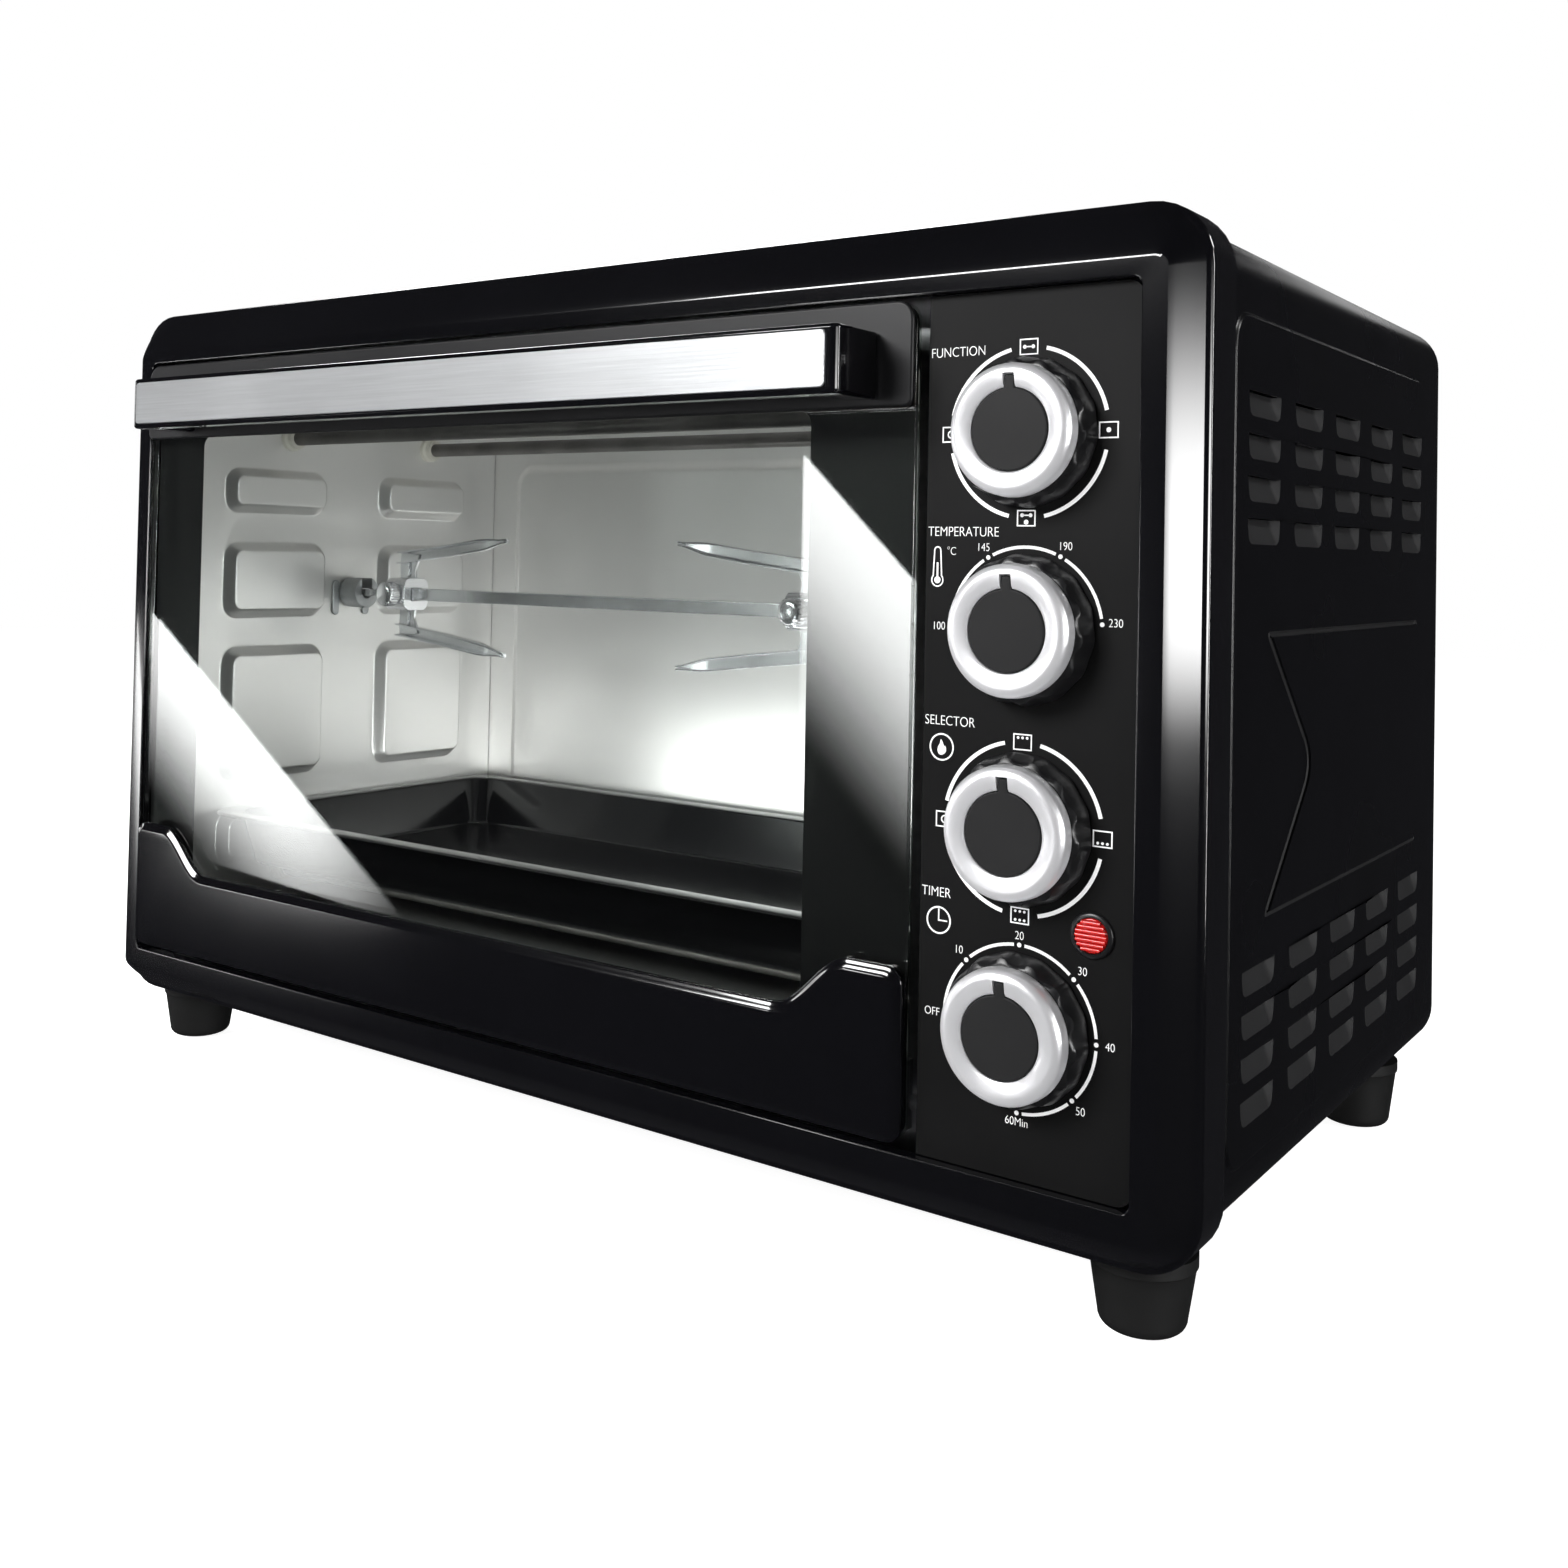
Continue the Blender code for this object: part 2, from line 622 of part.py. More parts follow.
def make_base_and_back():
    """Base plate between the shell's lips, and the back panel inside its rear edge."""
    half = SHELL_HALF - SHELL_CORNER - TOUCH
    block("base_plate", (-half, SHELL_FRONT, SHELL_LOW), (half, BACK_Y + SHEET, BASE_TOP), ZINC)
    outline = rounded(-INNER_HALF, INNER_HALF, BASE_TOP + TOUCH, INNER_TOP, INNER_CORNER, 5)
    gland = (KNOB_X, UNDER + GLAND_HEIGHT)
    holes = [circle(gland, GLAND_RADIUS + TOUCH, BORE_SIDES)]
    for row in range(BACK_SLOT_ROWS):
        for column in range(BACK_SLOT_COLUMNS):
            x = LEFT + BACK_SLOT_SIDE + BACK_SLOT_PITCH * column
            z = TOP - BACK_SLOT_DROP - BACK_SLOT_ROW_PITCH * row
            holes.append(rounded(x, x + BACK_SLOT_LENGTH, z, z + BACK_SLOT_HEIGHT, 0))
    plate("back_panel", FRONT_PLANE, [outline] + holes, -BACK_Y - SHEET, -BACK_Y, ZINC)
    flange = GLAND_RADIUS + GLAND_FLANGE
    outer_face = BACK_Y + SHEET + TOUCH
    profile = [
        (GLAND_BORE, BODY_DEPTH + REAR_REACH),
        (GLAND_RADIUS - SHEET, BODY_DEPTH + REAR_REACH),
        (GLAND_RADIUS, outer_face + GLAND_FLANGE),
        (flange, outer_face + GLAND_FLANGE * 0.8),
        (flange, outer_face),
        (GLAND_RADIUS, outer_face),
        (GLAND_RADIUS, BACK_Y - GLAND_INSIDE),
        (GLAND_BORE, BACK_Y - GLAND_INSIDE),
    ]
    back_plane = Matrix(((-1, 0, 0), (0, 0, 1), (0, 1, 0)))
    place = (gland[0], 0, gland[1])
    turned("cord_gland", back_plane, profile, place, RUBBER, closed=True, sides=BORE_SIDES)
    spacer_z = TOP - SPACER_DROP
    low = (-SPACER_LENGTH / 2, outer_face, spacer_z)
    high = (SPACER_LENGTH / 2, BODY_DEPTH + REAR_REACH, spacer_z + SPACER_HEIGHT)
    block("rear_spacer", low, high, MATT_BLACK, edge=SPACER_EDGE)


def make_feet():
    """Four tapered feet with rounded lower edges and flat soles."""
    sole = FOOT_RADIUS - FOOT_TAPER
    for side, x in (("left", LEFT + FOOT_SIDE), ("right", RIGHT - FOOT_SIDE)):
        for end, y, head in (
            ("front", FOOT_FRONT, UNDER - TOUCH),
            ("rear", BODY_DEPTH - FOOT_REAR, SHELL_LOW - TOUCH),
        ):
            profile = [
                (0, head),
                (FOOT_RADIUS, head),
                (sole, FOOT_EDGE),
                (sole - FOOT_EDGE * 0.3, FOOT_EDGE * 0.3),
                (sole - FOOT_EDGE, 0),
                (0, 0),
            ]
            turned(f"foot_{end}_{side}", LEVEL_PLANE, profile, (x, y, 0), RUBBER)


# --- Cavity -------------------------------------------------------------------------------------

def make_front_frame():
    """Pressed front frame behind the bezel, open at the cavity's mouth and behind the controls."""
    outline = rounded(-INNER_HALF, INNER_HALF, BASE_TOP + TOUCH, INNER_TOP, INNER_CORNER, 5)
    mouth = rounded(
        WALL_LEFT + MOUTH_LIP, WALL_RIGHT - MOUTH_LIP, FLOOR_Z + MOUTH_LIP, CEILING_Z - MOUTH_LIP,
        MOUTH_CORNER,
    )
    bay = SWITCH_SIZE / 2 + BAY_MARGIN
    lowest = knob_height(len(CONTROLS) - 1) - bay
    controls = rounded(KNOB_X - bay, KNOB_X + bay + BAY_LAMP_SIDE, lowest, knob_height(0) + bay, BAY_MARGIN)
    plate(
        "front_frame", FRONT_PLANE, [outline, mouth, controls], -FRAME_Y - SHEET, -FRAME_Y, ZINC
    )


def heater_places():
    """Name, depth and height of each heating rod."""
    middle = CAVITY_FRONT + CAVITY_DEPTH / 2
    places = []
    for level, z in (("upper", CEILING_Z - HEATER_UPPER_DROP), ("lower", FLOOR_Z + HEATER_INSET)):
        for end, shift in (("front", -HEATER_SPAN / 2), ("rear", HEATER_SPAN / 2)):
            places.append((f"heater_{level}_{end}", middle + shift, z))
    return places


def pads(x_wall, inward, skip_rear):
    """Raised pads that leave level guides between them for the tray's rim."""
    boxes = []
    for column, y in enumerate((CAVITY_FRONT + PAD_COLUMN_FRONT, REAR_PADS)):
        z = FLOOR_Z + PAD_LOWEST
        for row, height in enumerate(PAD_HEIGHTS):
            if not (column == 1 and row in skip_rear):
                near = x_wall - inward * SHEET / 2
                far = x_wall + inward * PAD_DEPTH
                low = (min(near, far), y, z)
                high = (max(near, far), y + PAD_COLUMN_LENGTH, z + height)
                boxes.append((low, high))
            z += height + GUIDE_GAP
    return boxes


def make_side_wall(name, face, inward, skip_rear, holes):
    """One cavity side: a sheet with the heaters' holes and its embossed pads."""
    outline = rounded(CAVITY_FRONT, CAVITY_BACK, FLOOR_Z, CEILING_Z, 0)
    rods = [circle((y, z), HEATER_RADIUS + RUNNING) for _, y, z in heater_places()]
    low, high = sorted((face, face - inward * SHEET))
    wall = plate(name, SIDE_PLANE, [outline] + rods + holes, low, high, STEEL)
    raised = pads(face, inward, skip_rear)
    return join(wall, add(name + "_pads", blocks_mesh(name + "_pads", raised), None))


def make_cavity():
    """Five sheets round the cooking space, and the four heating rods through its sides."""
    drive = circle((SPIT_Y, SPIT_Z), SOCKET_RADIUS + RUNNING, BORE_SIDES)
    fan = circle((FAN_Y, FAN_Z), FAN_SHAFT + RUNNING)
    make_side_wall("cavity_left_wall", WALL_LEFT, 1, (), [])
    make_side_wall("cavity_right_wall", WALL_RIGHT, -1, (1, 2), [drive, fan])
    left = WALL_LEFT - SHEET
    right = WALL_RIGHT + SHEET
    back = CAVITY_BACK + TOUCH
    block("cavity_back_wall", (left, back, FLOOR_Z), (right, back + SHEET, CEILING_Z), STEEL)
    under = FLOOR_Z - TOUCH
    over = CEILING_Z + TOUCH
    block("cavity_floor", (left, CAVITY_FRONT, under - SHEET), (right, back + SHEET, under), STEEL)
    block("cavity_ceiling", (left, CAVITY_FRONT, over), (right, back + SHEET, over + SHEET), STEEL)
    length = right - left + 2 * HEATER_OVERRUN
    for name, y, z in heater_places():
        rod(name, SIDE_PLANE, (left - HEATER_OVERRUN, y, z), HEATER_RADIUS, length, HEATER, sides=12)


def make_fan():
    """Convection fan in the rear of the right wall: guard, impeller and motor."""
    axis = empty("fan_axis", (0, FAN_Y, FAN_Z), frame)
    guard_face = WALL_RIGHT - TOUCH - GUARD_DEPTH
    radius = GUARD_RADIUS
    flange = radius + GUARD_FLANGE
    inner_edge = GUARD_EDGE + SHEET / 2
    profile = [
        (0, GUARD_DEPTH), (radius - GUARD_EDGE, GUARD_DEPTH), (radius, GUARD_DEPTH - GUARD_EDGE),
        (radius, SHEET), (flange, SHEET), (flange, 0), (radius - SHEET, 0),
        (radius - SHEET, GUARD_DEPTH - inner_edge), (radius - inner_edge, GUARD_DEPTH - SHEET),
        (0, GUARD_DEPTH - SHEET),
    ]
    toward_left = Matrix(((0, 0, -1), (-1, 0, 0), (0, 1, 0)))
    place = (WALL_RIGHT - TOUCH, FAN_Y, FAN_Z)
    guard = turned("fan_guard", toward_left, profile, place, STEEL)
    slots = []
    for row in range(-2, 3):
        shift = GUARD_SLOT_PITCH * row
        half = math.sqrt((radius - GUARD_SLOT_END) ** 2 - shift ** 2)
        z = FAN_Z + shift
        low = (guard_face - OVERCUT, FAN_Y - half, z - GUARD_SLOT / 2)
        slots.append((low, (guard_face + OVERCUT, FAN_Y + half, z + GUARD_SLOT / 2)))
    cut(guard, add("guard_cutter", blocks_mesh("guard_cutter", slots), None))
    outline = []
    for blade in range(FAN_BLADES):
        turn = 360 / FAN_BLADES * blade
        root, tip = (FAN_HUB, BLADE_ROOT), (FAN_RADIUS, BLADE_TIP)
        for (reach, swing), hand in ((root, -1), (tip, -1), (tip, 1), (root, 1)):
            angle = math.radians(turn + hand * swing)
            outline.append((FAN_Y + reach * math.cos(angle), FAN_Z + reach * math.sin(angle)))
    hub = WALL_RIGHT - TOUCH - FAN_BEHIND
    wheel = plate("fan_impeller", SIDE_PLANE, [outline], hub - FAN_WIDTH, hub, STEEL, axis)
    place = (hub - SHEET, FAN_Y, FAN_Z)
    shaft_length = MOTOR_X + FAN_SHAFT_END - hub
    join(wheel, rod("fan_shaft", SIDE_PLANE, place, FAN_SHAFT, shaft_length, None, sides=HOLE_SIDES))
    place = (MOTOR_X, FAN_Y, FAN_Z)
    motor = rod("fan_motor", SIDE_PLANE, place, FAN_MOTOR_RADIUS, FAN_MOTOR_LENGTH, ZINC)
    bore = FAN_SHAFT + RUNNING
    place = (MOTOR_X - OVERCUT, FAN_Y, FAN_Z)
    length = MOTOR_BORE + OVERCUT
    cut(motor, rod("motor_bore", SIDE_PLANE, place, bore, length, None, sides=HOLE_SIDES))


# --- Controls -----------------------------------------------------------------------------------

CONTROLS = (
    ("function", "function_switch"),
    ("temperature", "thermostat"),
    ("selector", "selector_switch"),
    ("timer", "timer_unit"),
)


def knob_height(index):
    """Height of a knob's axis, counted from the top knob."""
    return TOP - KNOB_TOP_BELOW - KNOB_PITCH * index


def make_fascia():
    """Recessed control panel with four shaft holes and a lamp hole, flanged back at its left."""
    outline = rounded(
        FASCIA_LEFT, OPEN_RIGHT - TOUCH, OPEN_LOW + TOUCH, OPEN_HIGH - TOUCH,
        (FASCIA_CORNER, FASCIA_CORNER, 0, 0),
    )
    shaft_hole = SHAFT_RADIUS + SHAFT_HOLE_GAP
    holes = [circle((KNOB_X, knob_height(i)), shaft_hole) for i in range(len(CONTROLS))]
    lamp = (KNOB_X + LAMP_OUT, knob_height(2) - LAMP_DROP)
    holes.append(circle(lamp, LAMP_RADIUS + TOUCH, BORE_SIDES))
    fascia = plate(
        "control_fascia", FRONT_PLANE, [outline] + holes, -FASCIA_BACK, -FASCIA_RECESS, MATT_BLACK
    )
    low = (FASCIA_LEFT, FASCIA_RECESS + SHEET, HINGE_Z + HINGE_BLOCK / 2 + MOTOR_GAP)
    high = (FASCIA_LEFT + FASCIA_FLANGE, FRAME_Y - TOUCH, OPEN_HIGH - FASCIA_FLANGE)
    join(fascia, add("fascia_flange", box_mesh("fascia_flange", low, high), None))
    profile = [
        (0, LAMP_DOME), (LAMP_RADIUS * 0.6, LAMP_SHOULDER), (LAMP_RADIUS, 0),
        (LAMP_RADIUS, -LAMP_LENGTH), (0, -LAMP_LENGTH),
    ]
    place = (lamp[0], FASCIA_RECESS, lamp[1])
    turned("indicator_lens", FRONT_PLANE, profile, place, RED_LENS, sides=BORE_SIDES)


def make_control(index, name, switch):
    """One control: switch body behind the fascia, and shaft, knob and bright ring that turn."""
    z = knob_height(index)
    axis = empty(f"{name}_axis", (KNOB_X, FASCIA_RECESS, z), frame)
    place = axis.location
    half = SWITCH_SIZE / 2
    low = (KNOB_X - half, SWITCH_Y, z - half)
    high = (KNOB_X + half, SWITCH_Y + SWITCH_DEPTH, z + half)
    body = block(switch, low, high, PLASTIC)
    start = (KNOB_X, SWITCH_Y + SHAFT_IN_SWITCH + SHAFT_HOLE_GAP, z)
    length = SHAFT_IN_SWITCH + SHAFT_HOLE_GAP + OVERCUT
    radius = SHAFT_RADIUS + RUNNING
    cut(body, rod(switch + "_bore", FRONT_PLANE, start, radius, length, None, sides=HOLE_SIDES))

    top = KNOB_HEIGHT - KNOB_CAP_DROP
    seat = KNOB_SKIRT
    socket = SHAFT_RADIUS + TOUCH
    shaft_top = top - KNOB_WALL
    profile = [
        (0, top), (RING_BORE - TOUCH, top), (RING_BORE - TOUCH, seat), (KNOB_RADIUS - KNOB_TAPER, seat),
        (KNOB_RADIUS, KNOB_OFF_GAP), (socket, KNOB_OFF_GAP), (socket, shaft_top), (0, shaft_top),
    ]
    turned(f"{name}_knob", FRONT_PLANE, profile, place, MATT_BLACK, axis)
    base = seat + TOUCH
    profile = [
        (RING_RADIUS - RING_CROWN, KNOB_HEIGHT), (RING_RADIUS - TOUCH, KNOB_HEIGHT - RING_EDGE),
        (RING_RADIUS, base), (RING_BORE, base), (RING_BORE, KNOB_HEIGHT - RING_EDGE / 3),
    ]
    turned(f"{name}_ring", FRONT_PLANE, profile, place, CHROME, axis, closed=True)
    tail = SWITCH_Y - FASCIA_RECESS + SHAFT_IN_SWITCH
    length = tail + shaft_top - TOUCH
    start = (KNOB_X, FASCIA_RECESS + tail, z)
    rod(f"{name}_shaft", FRONT_PLANE, start, SHAFT_RADIUS, length, STEEL, axis, HOLE_SIDES)


# --- Door ---------------------------------------------------------------------------------------

def smooth_rise(start, end, low, high, steps):
    """Points of an S-shaped rise from low to high."""
    points = []
    for step in range(steps + 1):
        share = step / steps
        level = low + (high - low) * (1 - math.cos(math.pi * share)) / 2
        points.append((start + (end - start) * share, level))
    return points


def make_door(axis):
    """Glass with a rail and handle across its top and a shaped sill panel across its foot."""
    outline = rounded(DOOR_LEFT, DOOR_RIGHT, DOOR_LOW, DOOR_HIGH, DOOR_CORNER)
    plate("door_glass", FRONT_PLANE, [outline], -GLASS_BACK, -GLASS_FRONT, DOOR_GLASS, axis)
    skin_back = -GLASS_FRONT + TOUCH
    skin_front = skin_back + SILL_THICK
    corners = (RAIL_CORNER, DOOR_CORNER, DOOR_CORNER, RAIL_CORNER)
    outline = rounded(DOOR_LEFT, DOOR_RIGHT, DOOR_HIGH - RAIL_HEIGHT, DOOR_HIGH, corners)
    plate("door_upper_rail", FRONT_PLANE, [outline], skin_back, skin_front, PAINT_BLACK, axis)

    valley = DOOR_LOW + SILL_HEIGHT
    ridge = valley + SILL_RISE
    shoulder_left, shoulder_right = DOOR_LEFT + SILL_SHOULDER, DOOR_RIGHT - SILL_SHOULDER
    left = smooth_rise(shoulder_left + SILL_RUN, shoulder_left, valley, ridge, 6)
    right = smooth_rise(shoulder_right, shoulder_right - SILL_RUN, ridge, valley, 6)
    steps = 4
    outline = rounded(DOOR_LEFT, DOOR_RIGHT, DOOR_LOW, ridge, DOOR_CORNER, steps)
    right_corners, left_corners = outline[:2 * (steps + 1)], outline[2 * (steps + 1):]
    outline = right_corners + right + left + left_corners
    plate("door_lower_panel", FRONT_PLANE, [outline], skin_back, skin_front, GLOSS_BLACK, axis)

    bar_left = DOOR_LEFT + HANDLE_LEFT_IN
    bar_right = DOOR_RIGHT - HANDLE_RIGHT_IN
    middle = DOOR_HIGH - HANDLE_DROP
    half = HANDLE_HEIGHT / 2
    face = -HANDLE_REACH + PLATE_THICK
    low = (bar_left, face, middle - half)
    high = (bar_right, face + HANDLE_BAR, middle + half)
    bar = block("door_handle", low, high, GLOSS_BLACK, axis)
    rail_face = -skin_front - TOUCH
    posts = []
    for x in (bar_left, bar_right - POST_WIDTH):
        low = (x + POST_SIDE, face + HANDLE_BAR - POST_SINK, middle - half + POST_STEP)
        posts.append((low, (x + POST_WIDTH, rail_face, middle + half - POST_STEP)))
    legs = add("handle_posts", blocks_mesh("handle_posts", posts), None, home=axis)
    legs.location = -axis.location
    join(bar, legs)
    bevel(bar, HANDLE_EDGE, 1)
    low = (bar_left + PLATE_MARGIN, -HANDLE_REACH, middle - half + PLATE_MARGIN)
    high = (bar_right - PLATE_MARGIN, face - TOUCH, middle + half - PLATE_MARGIN)
    block("handle_plate", low, high, STEEL, axis)


def make_hinge(side, edge, outward, axis):
    """One hinge: arm and pin on the door, block with a bore on the frame."""
    reach = edge + outward * (PIN_LENGTH - PIN_INSIDE)
    start = edge - outward * PIN_INSIDE
    near = edge - outward * ARM_INSIDE
    far = near - outward * ARM_LENGTH
    low = (min(near, far), GLASS_BACK + TOUCH, DOOR_LOW + ARM_LOW)
    high = (max(near, far), HINGE_Y - PIN_RADIUS * 0.25, HINGE_Z + ARM_RISE)
    arm = block(f"hinge_arm_{side}", low, high, ZINC, axis)
    place = (min(start, reach), HINGE_Y, HINGE_Z)
    length = abs(reach - start)
    pin = rod(f"hinge_pin_{side}", SIDE_PLANE, place, PIN_RADIUS, length, None, axis, BORE_SIDES)
    join(arm, pin)
    inner = edge + outward * BLOCK_NEAR
    outer = edge + outward * BLOCK_FAR
    low = (min(inner, outer), FASCIA_BACK + TOUCH, HINGE_Z - HINGE_BLOCK / 2)
    high = (max(inner, outer), FRAME_Y - TOUCH, HINGE_Z + HINGE_BLOCK / 2)
    holder = block(f"hinge_block_{side}", low, high, ZINC)
    place = (min(inner, outer) - OVERCUT, HINGE_Y, HINGE_Z)
    bore = PIN_RADIUS + RUNNING
    length = BLOCK_FAR - BLOCK_NEAR + 2 * OVERCUT
    cut(holder, rod(f"hinge_bore_{side}", SIDE_PLANE, place, bore, length, None, sides=BORE_SIDES))


def make_door_spring():
    """Torsion spring coiled round the left hinge pin, between the arm and the block."""
    coil = bpy.data.curves.new("door_spring", "CURVE")
    coil.dimensions = "3D"
    coil.bevel_depth = SPRING_WIRE / 2
    coil.bevel_resolution = 1
    coil.use_fill_caps = True
    spline = coil.splines.new("POLY")
    points_per_turn = 10
    count = SPRING_TURNS * points_per_turn
    spline.points.add(count)
    radius = PIN_RADIUS + RUNNING + SPRING_WIRE / 2
    start = DOOR_LEFT - BLOCK_NEAR + TOUCH + SPRING_WIRE / 2
    pitch = SPRING_WIRE * SPRING_PITCH
    for index in range(count + 1):
        angle = 2 * math.pi * index / points_per_turn
        x = start + pitch * index / points_per_turn
        y = HINGE_Y + radius * math.cos(angle)
        z = HINGE_Z + radius * math.sin(angle)
        spline.points[index].co = (x, y, z, 1)
    piece = bpy.data.objects.new("door_spring", coil)
    coil.materials.append(STEEL)
    piece.parent = frame
    oven.objects.link(piece)


# --- Spit ---------------------------------------------------------------------------------------

def make_spit(axis):
    """Square spit with a round left end in a hanger, and the driven socket at its right."""
    half = SPIT_SIZE / 2
    edge = half * SPIT_EDGE
    square = [(half, -edge), (half, edge), (edge, half), (-edge, half), (-half, edge), (-half, -edge),
              (-edge, -half), (edge, -half)]
    pin = arc((0, 0), SPIT_PIN, -22.5, 292.5, 7)
    left_end = WALL_LEFT + SPIT_END
    shoulder = WALL_LEFT + HANGER_DEPTH + SPIT_SHOULDER
    cone = shoulder + SPIT_CONE
    socket_left = WALL_RIGHT - SOCKET_OUT
    right_end = socket_left + SOCKET_DEPTH
    rings = []
    for x, outline in ((left_end, pin), (shoulder, pin), (cone, square), (right_end, square)):
        rings.append([(x, SPIT_Y + a, SPIT_Z + b) for a, b in outline])
    loft("spit_rod", rings, CHROME, ends="capped", home=axis)

    socket_length = MOTOR_X - TOUCH - socket_left
    place = (socket_left, SPIT_Y, SPIT_Z)
    socket = rod("drive_socket", SIDE_PLANE, place, SOCKET_RADIUS, socket_length, ZINC, axis, BORE_SIDES)
    hole = half + TOUCH
    low = (socket_left - OVERCUT, SPIT_Y - hole, SPIT_Z - hole)
    high = (right_end + TOUCH, SPIT_Y + hole, SPIT_Z + hole)
    cut(socket, add("socket_cutter", box_mesh("socket_cutter", low, high), None))

    place = (WALL_LEFT + TOUCH, SPIT_Y, SPIT_Z)
    length = HANGER_DEPTH - TOUCH
    hanger = rod("spit_hanger", SIDE_PLANE, place, HANGER_RADIUS, length, ZINC, sides=BORE_SIDES)
    bore = SPIT_PIN + HANGER_GAP
    place = (WALL_LEFT - OVERCUT, SPIT_Y, SPIT_Z)
    length = HANGER_DEPTH + 2 * OVERCUT
    cut(hanger, rod("hanger_bore", SIDE_PLANE, place, bore, length, None, sides=BORE_SIDES))
    low = (WALL_LEFT - OVERCUT, SPIT_Y - bore, SPIT_Z)
    high = (WALL_LEFT + HANGER_DEPTH + OVERCUT, SPIT_Y + bore, SPIT_Z + HANGER_RADIUS + OVERCUT)
    cut(hanger, add("hanger_cutter", box_mesh("hanger_cutter", low, high), None))

    half = SPIT_MOTOR_SIZE / 2
    low = (MOTOR_X, SPIT_Y - half, SPIT_Z - half)
    block("spit_motor", low, (MOTOR_X + SPIT_MOTOR_DEPTH, SPIT_Y + half, SPIT_Z + half), ZINC)


def make_fork(side, x, forward, spit_axis):
    """One meat fork: a plate with two tines on a hub that a thumbscrew clamps to the spit."""
    home = empty(f"fork_{side}_slide", (x, 0, 0), spit_axis)
    wide = TINE_WIDTH / 2
    slope = (FORK_SPREAD - FORK_ROOT) / FORK_REACH
    point = FORK_REACH - FORK_POINT
    upper = [
        (-FORK_BACK, FORK_ROOT), (-FORK_BACK + wide, FORK_ROOT + wide),
        (point, FORK_ROOT + slope * point + wide), (FORK_REACH, FORK_SPREAD),
        (point, FORK_ROOT + slope * point - wide), (FORK_CROTCH, FORK_ROOT + slope * FORK_CROTCH - wide),
        (FORK_NECK, FORK_ROOT - 2 * wide),
    ]
    outline = upper + [(a, -b) for a, b in reversed(upper)]
    outline = [(x + forward * a, SPIT_Z + b) for a, b in outline]
    low = -SPIT_Y - FORK_SHEET / 2
    fork = plate(f"fork_{side}", FRONT_PLANE, [outline], low, low + FORK_SHEET, CHROME)
    fork.parent = home
    fork.location = fork.location - spit_axis.location - home.location
    half = FORK_HUB / 2
    length = FORK_HUB_LENGTH / 2
    low = (x - length, SPIT_Y - half, SPIT_Z - half)
    high = (x + length, SPIT_Y + half, SPIT_Z + half)
    join(fork, add(f"hub_{side}", box_mesh(f"hub_{side}", low, high), None))
    hole = SPIT_SIZE / 2 + TOUCH
    low = (x - length - OVERCUT, SPIT_Y - hole, SPIT_Z - hole)
    high = (x + length + OVERCUT, SPIT_Y + hole, SPIT_Z + hole)
    cut(fork, add(f"hub_hole_{side}", box_mesh(f"hub_hole_{side}", low, high), None))
    place = (x, SPIT_Y - hole + OVERCUT, SPIT_Z)
    tapped = SCREW_SHANK + TOUCH
    cut(fork, rod(f"tapped_{side}", FRONT_PLANE, place, tapped, half, None, sides=HOLE_SIDES))
    seat = half + TOUCH
    tip = hole + TOUCH
    profile = [
        (0, seat + SCREW_HEAD), (SCREW_RADIUS - SCREW_EDGE, seat + SCREW_HEAD),
        (SCREW_RADIUS, seat + SCREW_HEAD - SCREW_EDGE), (SCREW_RADIUS, seat), (SCREW_SHANK, seat),
        (SCREW_SHANK, tip), (0, tip),
    ]
    screw = turned(f"thumbscrew_{side}", FRONT_PLANE, profile, (x, SPIT_Y, SPIT_Z), CHROME, sides=12)
    screw.parent = home
    screw.location = (0, 0, 0)


# --- Tray ---------------------------------------------------------------------------------------

def make_tray(axis):
    """Pressed baking tray: a rim that rides in the guides, and a basin with tapered sides."""
    front = CAVITY_FRONT + TRAY_FRONT_GAP
    left = WALL_LEFT + MOUTH_LIP + SLIDE_GAP
    right = WALL_RIGHT - MOUTH_LIP - SLIDE_GAP
    rim_low = GUIDE_Z + TOUCH
    floor = rim_low - TRAY_DEPTH

    def ring(inset, z, corner):
        outline = rounded(left + inset, right - inset, front + inset, front + TRAY_LENGTH - inset, corner)
        return [(x, y, z) for x, y in outline]

    lip = TRAY_RIM
    foot = TRAY_RIM + TRAY_TAPER
    lip_corner = TRAY_CORNER * 0.7
    foot_corner = TRAY_CORNER * 0.6
    rings = [
        ring(foot, floor, foot_corner),
        ring(lip, rim_low, lip_corner),
        ring(0, rim_low, TRAY_CORNER),
        ring(0, rim_low + SHEET, TRAY_CORNER),
        ring(lip + SHEET, rim_low + SHEET, lip_corner),
        ring(foot + SHEET, floor + SHEET, foot_corner),
    ]
    loft("baking_tray", rings, ENAMEL, ends="capped", home=axis)


make_bezel()
make_cabinet()
make_base_and_back()
make_feet()
make_front_frame()
make_cavity()
make_fan()
make_fascia()
for number, (control, behind) in enumerate(CONTROLS):
    make_control(number, control, behind)
door_axis = empty("door_axis", (0, HINGE_Y, HINGE_Z), frame)
make_door(door_axis)
make_hinge("left", DOOR_LEFT, -1, door_axis)
make_hinge("right", DOOR_RIGHT, 1, door_axis)
make_door_spring()
spit_axis = empty("spit_axis", (0, SPIT_Y, SPIT_Z), frame)
make_spit(spit_axis)
make_fork("left", WALL_LEFT + LEFT_FORK_IN, 1, spit_axis)
make_fork("right", WALL_RIGHT - RIGHT_FORK_IN, -1, spit_axis)
tray_axis = empty("tray_slide", (0, CAVITY_FRONT, GUIDE_Z), frame)
make_tray(tray_axis)
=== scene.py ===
import math

